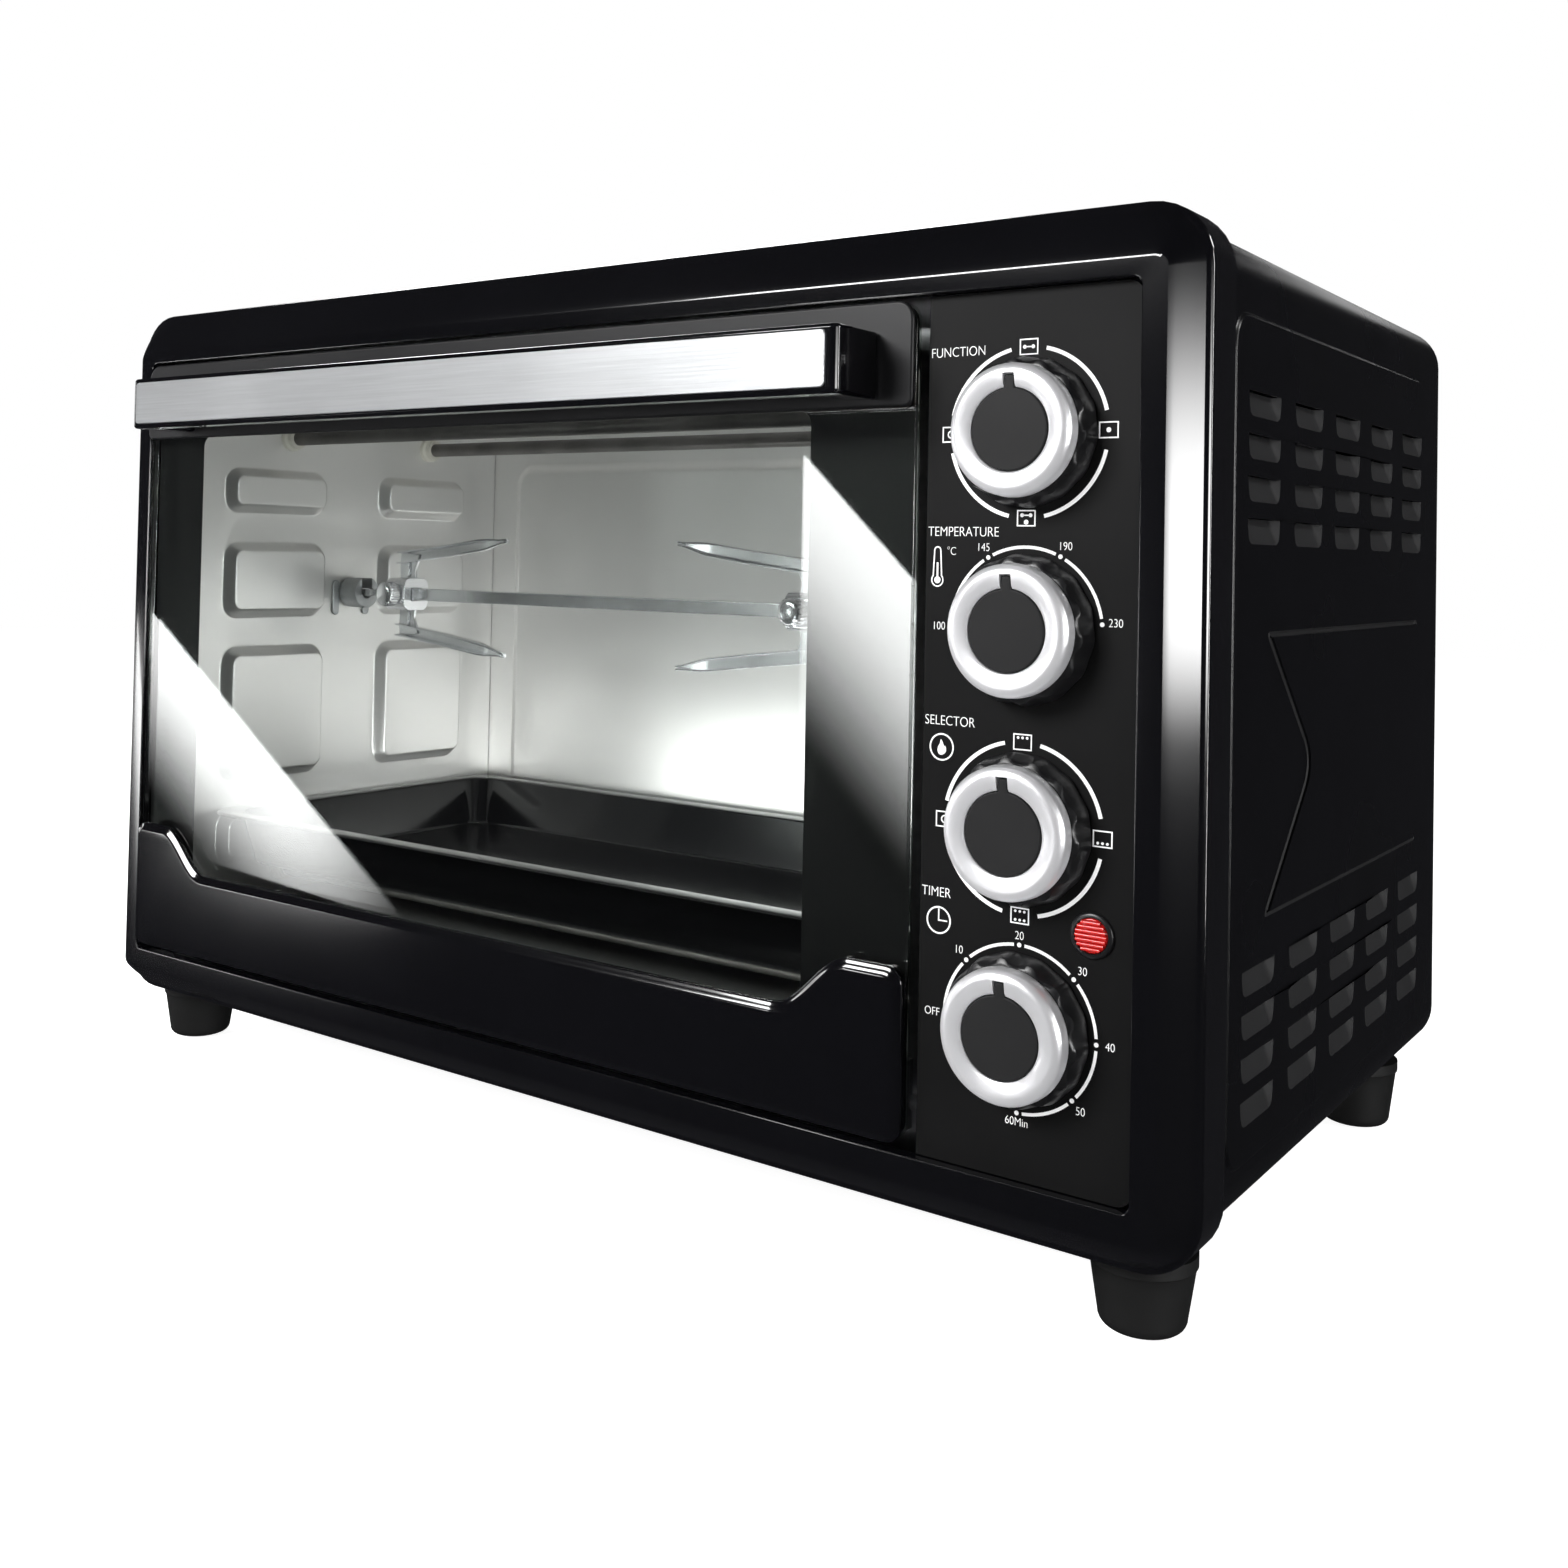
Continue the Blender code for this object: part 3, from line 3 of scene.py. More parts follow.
import bmesh
import bpy
from bpy.props import FloatProperty, FloatVectorProperty, IntProperty, PointerProperty
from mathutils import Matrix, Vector
from mathutils.geometry import tessellate_polygon


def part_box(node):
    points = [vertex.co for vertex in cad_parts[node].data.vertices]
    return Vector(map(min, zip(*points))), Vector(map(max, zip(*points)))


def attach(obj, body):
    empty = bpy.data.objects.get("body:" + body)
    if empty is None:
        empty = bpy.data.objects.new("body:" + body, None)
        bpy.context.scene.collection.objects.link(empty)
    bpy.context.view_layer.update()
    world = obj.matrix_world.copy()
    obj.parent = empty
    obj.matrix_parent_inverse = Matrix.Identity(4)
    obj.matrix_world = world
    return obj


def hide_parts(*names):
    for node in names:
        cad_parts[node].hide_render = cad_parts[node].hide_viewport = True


bl_info = {
    "name": "Rotisserie Oven Maker",
    "version": (1, 0, 0),
    "blender": (4, 5, 0),
    "location": "View3D > Sidebar > Oven",
    "description": "Builds the detailed pieces of a countertop rotisserie oven around its frame",
    "category": "Add Mesh",
}

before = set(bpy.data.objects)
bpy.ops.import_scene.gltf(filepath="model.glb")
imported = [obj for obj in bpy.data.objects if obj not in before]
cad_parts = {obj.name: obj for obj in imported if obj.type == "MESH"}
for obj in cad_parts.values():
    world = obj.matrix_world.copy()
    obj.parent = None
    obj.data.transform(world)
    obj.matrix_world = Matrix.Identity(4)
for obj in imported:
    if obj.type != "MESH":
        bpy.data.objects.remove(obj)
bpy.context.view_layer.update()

# Places taken from the frame. Every piece is drawn in the frame's own coordinates.
BEZEL_LOW, BEZEL_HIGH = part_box("front_bezel")
SHELL_LOW, SHELL_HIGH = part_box("cabinet_shell")
PANE_LOW, PANE_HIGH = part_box("door_glass")
FASCIA_LOW, FASCIA_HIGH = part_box("control_fascia")
FACE = BEZEL_LOW.y
CONTROLS = ("function", "temperature", "selector", "timer")
WELD = 0.000004  # points closer than this become one
EDGE_FLAT = 0.01  # edges flatter than this angle go before the rest are bevelled
BEVEL_ANGLE = math.radians(35)


def length(label, note, value):
    return FloatProperty(name=label, description=note, default=value, unit="LENGTH", precision=5)


def count(label, note, value):
    return IntProperty(name=label, description=note, default=value, min=1)


def ratio(label, note, value):
    return FloatProperty(name=label, description=note, default=value, min=0, max=1)


def colour(label, note, value):
    return FloatVectorProperty(name=label, description=note, default=value, subtype="COLOR", min=0, max=1)


class CasingSizes(bpy.types.PropertyGroup):
    chamfer_side: length("Side chamfer", "Width of the bezel's slope at its left and right", 0.0105)
    chamfer_top: length("Top chamfer", "Width of the bezel's slope along its top", 0.0176)
    chamfer_bottom: length("Bottom chamfer", "Width of the bezel's slope along its foot", 0.0105)
    chamfer_depth: length("Chamfer depth", "How far back the slope runs", 0.0080)
    corner: length("Outer corner", "Radius of the bezel's outer corners", 0.0200)
    wall: length("Bezel wall", "Thickness of the moulded bezel", 0.0025)
    sheet: length("Cabinet sheet", "Thickness of the painted steel sheet", 0.0008)
    shell_corner: length("Cabinet corner", "Radius of the cabinet's long edges", 0.0175)
    rear_round: length("Rear edge", "Radius of the cabinet's rear edge", 0.0070)
    louvre_width: length("Louvre width", "Width of a louvre along its open top", 0.0310)
    louvre_height: length("Louvre height", "Height of a louvre", 0.0080)
    louvre_depth: length("Louvre depth", "How far a louvre's open upper lip is pressed in", 0.0032)
    louvre_columns: count("Louvre columns", "Louvres side by side in one group", 5)
    louvre_rows: count("Louvre rows", "Rows of louvres in one group", 4)


class DoorSizes(bpy.types.PropertyGroup):
    window_left: length("Window left", "Clear window's left edge from the door's left edge", 0.0340)
    window_right: length("Window right", "Clear window's right edge from the door's right edge", 0.0420)
    window_top: length("Window top", "Clear window's upper edge under the door's top", 0.0330)
    window_foot: length("Window foot", "Clear window's lower edge over the door's foot", 0.0240)
    sill_rise: length("Sill rise", "How far the sill panel's ends stand over its middle", 0.0190)
    sill_shoulder: length("Sill shoulder", "Level length at each end of the sill panel", 0.0200)
    sill_run: length("Sill run", "Length of the S-curve down to the middle", 0.0300)
    sill_crown: length("Sill crown", "How far the sill panel bulges forward", 0.0012)
    handle_corner: length("Handle corner", "Radius where the handle turns back to the door", 0.0030)


class ControlSizes(bpy.types.PropertyGroup):
    mark_radius: length("Mark radius", "Radius of the printed arcs round each knob", 0.0262)
    mark_width: length("Mark width", "Width of the printed arcs", 0.0012)
    print_height: length("Print thickness", "Thickness of the printed marks", 0.00012)
    letter_size: length("Letter size", "Size of the printed words", 0.0044)
    letter_width: ratio("Letter width", "Narrowing of the printed words", 0.86)
    flutes: count("Skirt facets", "Facets round a knob's skirt", 14)
    ring_notch: length("Ring notch", "Width of the pointer's notch in a knob's bright ring", 0.0032)


class CavitySizes(bpy.types.PropertyGroup):
    pad_depth: length("Pad depth", "How far the side walls' pads stand out", 0.0060)
    pad_taper: length("Pad taper", "Width of a pad's sloped sides", 0.0050)
    tray_corner: length("Tray corner", "Radius of the tray's outer corners", 0.0160)
    collar_radius: length("Heater collar", "Radius of the ceramic collars on the heating rods", 0.0062)


class SpitSizes(bpy.types.PropertyGroup):
    tine_root: length("Tine root", "Height of a fork's tine over the spit at its hub", 0.0180)
    tine_tip: length("Tine tip", "Height of a fork's tine over the spit at its tip", 0.0275)
    tine_width: length("Tine width", "Width of a fork's folded tine", 0.0062)
    tine_fold: length("Tine fold", "Depth of a fork's folded tine", 0.0050)
    knurls: count("Knurls", "Grooves round a thumbscrew", 22)


class FinishColours(bpy.types.PropertyGroup):
    gloss_black: colour("Gloss black", "Bezel, door trim and handle", (0.0022, 0.0022, 0.0030))
    cabinet_black: colour("Cabinet paint", "Painted steel cabinet", (0.0024, 0.0024, 0.0032))
    matt_black: colour("Matt black", "Control panel", (0.0038, 0.0038, 0.0040))
    knob_grey: colour("Knob grey", "Middle of the knobs", (0.0150, 0.0150, 0.0155))
    print_white: colour("Print white", "Marks round the knobs", (0.95, 0.95, 0.95))
    steel: colour("Steel", "Cavity walls", (0.82, 0.81, 0.80))
    silver: colour("Silver", "Handle's brushed plate", (0.52, 0.53, 0.54))
    chrome: colour("Chrome", "Knob rings, spit and forks", (0.86, 0.86, 0.88))
    lamp_red: colour("Lamp red", "Indicator lens", (0.55, 0.012, 0.010))


# --- Outlines -----------------------------------------------------------------------------------

def front(a, b, depth):
    return Vector((a, depth, b))


def side(a, b, depth):
    return Vector((depth, a, b))


def level(a, b, depth):
    return Vector((a, b, depth))


def mix(first, second, share):
    return first + (second - first) * share


def ease(share):
    """A smooth step between 0 and 1."""
    share = min(max(share, 0.0), 1.0)
    return share * share * (3 - 2 * share)


def arc(centre, radius, start, end, steps):
    """Points round part of a circle; angles in degrees, anticlockwise from the first axis."""
    points = []
    for step in range(steps + 1):
        angle = math.radians(mix(start, end, step / steps))
        points.append((centre[0] + radius * math.cos(angle), centre[1] + radius * math.sin(angle)))
    return points


def circle(centre, radius, sides=32):
    return arc(centre, radius, 0, 360 - 360 / sides, sides - 1)


def rounded(left, right, low, high, radius, steps=6):
    """A rectangle with round corners; four radii go lower right, upper right, upper left, lower left."""
    radii = radius if isinstance(radius, tuple) else (radius,) * 4
    points = []
    turns = ((right, low, -90), (right, high, 0), (left, high, 90), (left, low, 180))
    for (x, y, start), corner in zip(turns, radii):
        if corner <= 0:
            points.append((x, y))
            continue
        centre = (x - corner if x == right else x + corner, y - corner if y == high else y + corner)
        points += arc(centre, corner, start, start + 90, steps)
    return points


def inset(outline, amount):
    """An anticlockwise outline drawn in by amount, or out if it is negative."""
    points = []
    for index, here in enumerate(outline):
        before, after = outline[index - 1], outline[(index + 1) % len(outline)]
        first = Vector((here[0] - before[0], here[1] - before[1])).normalized()
        second = Vector((after[0] - here[0], after[1] - here[1])).normalized()
        inward = Vector((-first.y - second.y, first.x + second.x)).normalized()
        reach = amount / max(0.35, inward.dot(Vector((-first.y, first.x))))
        points.append((here[0] + inward.x * reach, here[1] + inward.y * reach))
    return points


def bent(corners, steps=5):
    """An outline through (a, b, reach) corners, each one rounded over its reach along both sides."""
    points = []
    for index, (a, b, reach) in enumerate(corners):
        here = Vector((a, b))
        before, after = Vector(corners[index - 1][:2]), Vector(corners[(index + 1) % len(corners)][:2])
        start = here + (before - here).normalized() * min(reach, (before - here).length * 0.45)
        end = here + (after - here).normalized() * min(reach, (after - here).length * 0.45)
        for step in range(steps + 1):
            t = step / steps
            points.append(tuple(mix(mix(start, here, t), mix(here, end, t), t)))
    return points


def softened(outline, times=2):
    """Corners of an outline cut off again and again, until they are round."""
    for _ in range(times):
        points = []
        for here, after in zip(outline, outline[1:] + outline[:1]):
            points.append((mix(here[0], after[0], 0.25), mix(here[1], after[1], 0.25)))
            points.append((mix(here[0], after[0], 0.75), mix(here[1], after[1], 0.75)))
        outline = points
    return outline


class Form:
    """One piece's mesh while it is being made."""

    def __init__(self):
        self.cage = bmesh.new()

    def loft(self, rings, caps=True, wrap=False, closed=True):
        """Faces between rings of points; wrap joins the last ring to the first."""
        rows = [[self.cage.verts.new(point) for point in ring] for ring in rings]
        for row, other in zip(rows, rows[1:] + (rows[:1] if wrap else [])):
            for index in range(len(row) if closed else len(row) - 1):
                after = (index + 1) % len(row)
                self.cage.faces.new((row[index], row[after], other[after], other[index]))
        if caps and not wrap:
            self.cage.faces.new(rows[0])
            self.cage.faces.new(rows[-1])
        return self

    def fill(self, outlines, plane, depth):
        """A flat sheet inside the first outline; the others are holes."""
        flat = [[Vector((a, b, 0)) for a, b in outline] for outline in outlines]
        points = [self.cage.verts.new(plane(p.x, p.y, depth)) for outline in flat for p in outline]
        for corners in tessellate_polygon(flat):
            self.cage.faces.new([points[corner] for corner in corners])
        return self

    def plate(self, outlines, plane, low, high):
        """A flat outline with holes, made solid between two depths."""
        self.fill(outlines, plane, low).fill(outlines, plane, high)
        for outline in outlines:
            self.loft([[plane(a, b, depth) for a, b in outline] for depth in (low, high)], caps=False)
        return self

    def block(self, low, high):
        return self.plate([rounded(low[0], high[0], low[1], high[1], 0)], level, low[2], high[2])

    def stamp(self, outline, plane, depth, taper, rise, holes=()):
        """A raised or sunk panel with soft sloping sides."""
        rings = []
        for inward, lift in ((0, 0), (0.22, 0.08), (0.5, 0.5), (0.78, 0.92), (1, 1)):
            ring = inset(outline, taper * inward)
            rings.append([plane(a, b, depth + rise * lift) for a, b in ring])
        self.loft(rings, caps=False)
        self.fill([inset(outline, taper)] + list(holes), plane, depth + rise)
        return self

    def turned(self, profile, centre, axis, sides=48, flutes=0):
        """Points (radius, height, optional flute depth) turned round an axis through centre."""
        axis = Vector(axis).normalized()
        across = axis.orthogonal().normalized()
        third = axis.cross(across)
        rings = []
        for radius, height, *cut in profile:
            ring = []
            for step in range(sides):
                angle = 2 * math.pi * step / sides
                dip = cut[0] * (0.5 - 0.5 * math.cos(angle * flutes)) if cut else 0
                around = across * math.cos(angle) + third * math.sin(angle)
                ring.append(Vector(centre) + axis * height + around * (radius - dip))
            rings.append(ring)
        return self.loft(rings, caps=profile[0][0] > 0 or profile[-1][0] > 0)

    def words(self, text, size, x, z, depth, height, align="CENTER", narrow=0.86):
        """Raised lettering that faces the front, with thin strokes."""
        drawn = bpy.data.curves.new("words", "FONT")
        drawn.body, drawn.size, drawn.align_x, drawn.align_y = text, size, align, "CENTER"
        drawn.extrude = height / 2
        drawn.offset = -0.016 * size
        holder = bpy.data.objects.new("words", drawn)
        bpy.context.scene.collection.objects.link(holder)
        bpy.context.view_layer.update()
        mesh = bpy.data.meshes.new_from_object(holder.evaluated_get(bpy.context.evaluated_depsgraph_get()))
        for vertex in mesh.vertices:
            a, b, up = vertex.co
            vertex.co = (x + a * narrow, depth - height / 2 - up, z + b)
        self.cage.from_mesh(mesh)
        bpy.data.objects.remove(holder)
        bpy.data.curves.remove(drawn)
        return self

    def piece(self, name, body, slot, look, replaces=(), edge=0.0, steps=2, sharp=32, sheet=0.0,
              facing=None):
        """Weld the mesh, put it in the scene, hang it on its body's empty, and hide the frame nodes it
        stands for.
        """
        bmesh.ops.remove_doubles(self.cage, verts=self.cage.verts, dist=WELD)
        bmesh.ops.dissolve_degenerate(self.cage, edges=self.cage.edges, dist=WELD)
        bmesh.ops.recalc_face_normals(self.cage, faces=self.cage.faces)
        if facing:
            largest = max(self.cage.faces, key=lambda face: face.calc_area())
            if largest.normal.dot(Vector(facing)) < 0:
                bmesh.ops.reverse_faces(self.cage, faces=self.cage.faces)
        if edge:
            bmesh.ops.dissolve_limit(
                self.cage, angle_limit=EDGE_FLAT, verts=self.cage.verts, edges=self.cage.edges
            )
        mesh = bpy.data.meshes.new(name)
        self.cage.edges.index_update()
        borders = [border.index for border in self.cage.edges if border.is_boundary]
        self.cage.to_mesh(mesh)
        self.cage.free()
        mesh.shade_smooth()
        mesh.set_sharp_from_angle(angle=math.radians(sharp))
        for index in borders:
            mesh.edges[index].use_edge_sharp = True
        mesh.materials.append(look)
        made = bpy.data.objects.new(name, mesh)
        bpy.context.scene.collection.objects.link(made)
        if sheet:
            wall = made.modifiers.new("sheet", "SOLIDIFY")
            wall.thickness = sheet
            wall.offset = -1
        if edge:
            rim = made.modifiers.new("edges", "BEVEL")
            rim.width = edge
            rim.segments = steps
            rim.limit_method = "ANGLE"
            rim.angle_limit = BEVEL_ANGLE
        weigh = made.modifiers.new("shading", "WEIGHTED_NORMAL")
        weigh.keep_sharp = True
        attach(made, body)
        if replaces:
            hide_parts(*replaces)
        return made


# --- Finishes -----------------------------------------------------------------------------------

def surface(name, tone, rough, metal=0.0, cloud=0.0, cloud_scale=40.0, drift=0.04, drift_scale=9.0,
            grain=0.0, grain_scale=900.0, stretch=(1, 1, 1), coat=0.0, gleam=0.5):
    """A Principled material: clouded colour, drifting roughness and a fine grain in the normal."""
    made = bpy.data.materials.new(name)
    made.use_nodes = True
    nodes, links = made.node_tree.nodes, made.node_tree.links
    shader = nodes["Principled BSDF"]
    shader.inputs["Metallic"].default_value = metal
    shader.inputs["Specular IOR Level"].default_value = gleam
    shader.inputs["Coat Weight"].default_value = coat
    shader.inputs["Coat Roughness"].default_value = 0.04
    place = nodes.new("ShaderNodeTexCoord").outputs["Object"]

    def noise(scale, detail, along=(1, 1, 1)):
        stretched = nodes.new("ShaderNodeMapping")
        stretched.inputs["Scale"].default_value = along
        field = nodes.new("ShaderNodeTexNoise")
        field.inputs["Scale"].default_value = scale
        field.inputs["Detail"].default_value = detail
        links.new(place, stretched.inputs["Vector"])
        links.new(stretched.outputs["Vector"], field.inputs["Vector"])
        return field.outputs["Fac"]

    def spread(source, low, high):
        ranged = nodes.new("ShaderNodeMapRange")
        for key, value in (("From Min", 0.3), ("From Max", 0.7), ("To Min", low), ("To Max", high)):
            ranged.inputs[key].default_value = value
        links.new(source, ranged.inputs["Value"])
        return ranged.outputs["Result"]

    tint = nodes.new("ShaderNodeMix")
    tint.data_type = "RGBA"
    tint.inputs["A"].default_value = (*[c * (1 - cloud) for c in tone], 1)
    tint.inputs["B"].default_value = (*[min(1, c * (1 + cloud)) for c in tone], 1)
    links.new(spread(noise(cloud_scale, 4, stretch), 0, 1), tint.inputs["Factor"])
    links.new(tint.outputs["Result"], shader.inputs["Base Color"])
    roughness = spread(noise(drift_scale, 3), max(0.02, rough - drift), rough + drift)
    links.new(roughness, shader.inputs["Roughness"])
    if grain:
        bump = nodes.new("ShaderNodeBump")
        bump.inputs["Strength"].default_value = grain
        bump.inputs["Distance"].default_value = 0.0002
        links.new(noise(grain_scale, 2, stretch), bump.inputs["Height"])
        links.new(bump.outputs["Normal"], shader.inputs["Normal"])
    return made


def clear_glass(name):
    """Clear float glass: a mirror by Fresnel over a faintly tinted pane that lets light through."""
    made = bpy.data.materials.new(name)
    made.use_nodes = True
    nodes, links = made.node_tree.nodes, made.node_tree.links
    nodes.remove(nodes["Principled BSDF"])
    mixed = nodes.new("ShaderNodeMixShader")
    pane = nodes.new("ShaderNodeBsdfTransparent")
    pane.inputs["Color"].default_value = (0.86, 0.88, 0.87, 1)
    mirror = nodes.new("ShaderNodeBsdfGlossy")
    mirror.inputs["Roughness"].default_value = 0.015
    mirror.inputs["Color"].default_value = (0.9, 0.9, 0.9, 1)
    slant = nodes.new("ShaderNodeLayerWeight")
    slant.inputs["Blend"].default_value = 0.5
    curve = nodes.new("ShaderNodeMath")
    curve.operation = "POWER"
    curve.inputs[1].default_value = 5.0
    share = nodes.new("ShaderNodeMapRange")
    share.inputs["To Min"].default_value = 0.045
    links.new(slant.outputs["Facing"], curve.inputs[0])
    links.new(curve.outputs["Value"], share.inputs["Value"])
    links.new(share.outputs["Result"], mixed.inputs["Fac"])
    links.new(pane.outputs["BSDF"], mixed.inputs[1])
    links.new(mirror.outputs["BSDF"], mixed.inputs[2])
    links.new(mixed.outputs["Shader"], nodes["Material Output"].inputs["Surface"])
    return made


LOOKS = {}


def make_looks(tones):
    """Every finish of the oven, by name."""
    brushed = (1, 45, 45)
    steel, chrome, gloss = tones.steel, tones.chrome, tones.gloss_black
    LOOKS.update(
        bezel=surface("bezel_gloss", gloss, 0.14, drift=0.02, cloud=0.1, coat=0.6),
        cabinet=surface("cabinet_paint", tones.cabinet_black, 0.27, cloud=0.15, grain=0.03,
                        grain_scale=1400, drift=0.03, gleam=0.30),
        # pressed: the louvres and the waisted groove carry the cabinet's own black paint, drawn here in a
        # lighter, rougher grey. This grey is a painted sheen standing in for the light the pressings catch,
        # not a second paint.
        pressed=surface("pressings_painted_sheen", (0.020, 0.020, 0.021), 0.60, cloud=0.1, grain=0.05,
                        grain_scale=1400, gleam=0.2),
        panel=surface("panel_matt", tones.matt_black, 0.55, cloud=0.12, grain=0.06, grain_scale=1800,
                      gleam=0.14),
        print=surface("white_print", tones.print_white, 0.55, cloud=0.03, drift=0.05),
        knob=surface("knob_black", (0.008, 0.008, 0.009), 0.34, cloud=0.15, grain=0.05, grain_scale=1500),
        cap=surface("knob_cap", tones.knob_grey, 0.50, cloud=0.08, grain=0.06, grain_scale=1600, gleam=0.15),
        ring=surface("knob_chrome", chrome, 0.30, 0.62, cloud=0.02, drift=0.03),
        rail=surface("door_rail", (0.006, 0.006, 0.007), 0.42, cloud=0.15, grain=0.05, grain_scale=1500,
                     gleam=0.35),
        gloss=surface("door_gloss", gloss, 0.11, drift=0.02, cloud=0.1, coat=0.6),
        printed=surface("glass_print", (0.003, 0.003, 0.003), 0.35, cloud=0.2, gleam=0.3),
        glass=clear_glass("door_glass"),
        silver=surface("handle_silver", tones.silver, 0.36, 0.8, cloud=0.06, cloud_scale=30, stretch=brushed,
                       grain=0.15, grain_scale=30, drift=0.04),
        steel=surface("cavity_steel", steel, 0.40, 0.75, cloud=0.03, cloud_scale=25, drift=0.015, grain=0.02,
                      grain_scale=500),
        zinc=surface("zinc_steel", (0.46, 0.47, 0.48), 0.42, 1.0, cloud=0.14, cloud_scale=120, drift=0.08,
                     grain=0.05),
        heater=surface("heater_steel", (0.20, 0.19, 0.185), 0.46, 0.9, cloud=0.25, cloud_scale=35,
                       drift=0.08,
                       grain=0.1),
        ceramic=surface("heater_ceramic", (0.72, 0.69, 0.62), 0.6, cloud=0.06, grain=0.1),
        spring=surface("spring_steel", (0.5, 0.5, 0.5), 0.3, 1.0, cloud=0.1),
        chrome=surface("spit_chrome", chrome, 0.20, 0.85, cloud=0.02, drift=0.03),
        enamel=surface("tray_enamel", (0.004, 0.004, 0.0045), 0.14, cloud=0.2, cloud_scale=260, drift=0.02),
        plastic=surface("switch_plastic", (0.58, 0.55, 0.47), 0.55, cloud=0.06, grain=0.06),
        lens=surface("lens_red", tones.lamp_red, 0.16, cloud=0.15, coat=0.5),
        rubber=surface("foot_rubber", (0.006, 0.006, 0.006), 0.60, cloud=0.15, grain=0.1,
                       grain_scale=1200, gleam=0.3),
    )


def keep(look, *nodes):
    """Give carried-over frame nodes their finish."""
    for node in nodes:
        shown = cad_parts[node]
        shown.data.materials.clear()
        shown.data.materials.append(LOOKS[look])


# --- Casing -------------------------------------------------------------------------------------

PANEL_RISE = 0.0010  # the cabinet's side panels stand this far out of its flat border
LOUVRE_FIRST = 0.062  # first louvre's middle behind the bezel's face
LOUVRE_COLUMN = 0.046
LOUVRE_ROW = 0.0132
LOUVRE_UPPER = 0.062  # upper group's first row under the oven's top
LOUVRE_LOWER = 0.034  # lower group's last row over the bezel's foot
WAIST_MIDDLE = 0.1615  # waisted outline's middle behind the bezel's face
WAIST_FOOT = 0.096  # its lower and upper edges over the bezel's foot
WAIST_HEAD = 0.186


def bezel_ring(insets, corner, depth):
    """One outline of the bezel: drawn in by (side, top, bottom), at a depth behind its face."""
    beside, above, below = insets
    outline = rounded(
        BEZEL_LOW.x + beside, BEZEL_HIGH.x - beside, BEZEL_LOW.z + below, BEZEL_HIGH.z - above, corner, 8
    )
    return [front(x, z, FACE + depth) for x, z in outline]


def make_bezel(size):
    """Moulded front frame with a flat border, a broad glossy slope and a rim round the cabinet."""
    gap = PANE_LOW.x - 0.0015
    opening = (gap - BEZEL_LOW.x, BEZEL_HIGH.z - PANE_HIGH.z - 0.0015, FASCIA_LOW.z - 0.0003 - BEZEL_LOW.z)
    slope = (size.chamfer_side, size.chamfer_top, size.chamfer_bottom)
    rim, edge, lip = 0.0022, 0.0007, 0.0045

    def grown(insets, amount):
        return tuple(value - amount for value in insets)

    rings = [
        bezel_ring(opening, 0.003, lip),
        bezel_ring(opening, 0.003, edge),
        bezel_ring(grown(opening, edge * 0.3), 0.0033, edge * 0.3),
        bezel_ring(grown(opening, edge), 0.0037, 0),
        bezel_ring(grown(slope, -edge), 0.004, 0),
    ]
    steps = 7
    for step in range(steps + 1):
        share = step / steps
        insets = tuple(mix(value, rim, share) for value in slope)
        depth = size.chamfer_depth * (0.8 * share + 0.2 * share * share)
        rings.append(bezel_ring(insets, mix(0.004, size.corner - rim, share), depth))
    for turn in (25, 50, 75, 90):
        across, back = 1 - math.sin(math.radians(turn)), 1 - math.cos(math.radians(turn))
        rings.append(bezel_ring((rim * across,) * 3, size.corner - rim * across, size.chamfer_depth
                                + rim * back))
    wall, end = size.wall, BEZEL_HIGH.y - FACE
    rings += [
        bezel_ring((0, 0, 0), size.corner, end - edge),
        bezel_ring((edge,) * 3, size.corner - edge, end),
        bezel_ring((wall,) * 3, size.corner - wall, end),
        bezel_ring((wall,) * 3, size.corner - wall, size.chamfer_depth + wall + rim),
        bezel_ring(grown(slope, -rim), 0.004, wall + edge * 0.3),
        bezel_ring(grown(opening, wall * 0.5), 0.003, wall + edge * 0.3),
        bezel_ring(grown(opening, wall * 0.5), 0.003, lip),
    ]
    form = Form().loft(rings, wrap=True)
    return form.piece("bezel", "chassis", "bezel_gloss", LOOKS["bezel"], ("front_bezel",), sharp=26)


def louvre(form, size, hand, y, top):
    """A scoop pressed inward, deepest at its open upper lip; returns its outline in the sheet."""
    columns, rows = 20, 6
    rings = []
    for row in range(rows + 1):
        up = row / rows
        half = size.louvre_width * mix(0.5, 0.46, (1 - up) ** 2)
        ring = []
        for column in range(columns + 1):
            across = 2 * column / columns - 1
            lift = size.louvre_height * 0.16 * ease((abs(across) - 0.84) / 0.16) * (1 - up)
            fall = size.louvre_depth * up ** 0.9 * ease((1 - abs(across)) / 0.14)
            ring.append((y + across * half, top - (1 - up) * size.louvre_height + lift, fall))
        rings.append(ring)
    panel = SHELL_HIGH.x + PANEL_RISE
    scoop = [[side(a, b, hand * (panel - fall)) for a, b, fall in ring] for ring in rings]
    form.loft(scoop, caps=False, closed=False)
    foot = [point[:2] for point in rings[0]]
    right = [ring[-1][:2] for ring in rings]
    left = [ring[0][:2] for ring in rings]
    return foot + right[1:] + left[:0:-1]


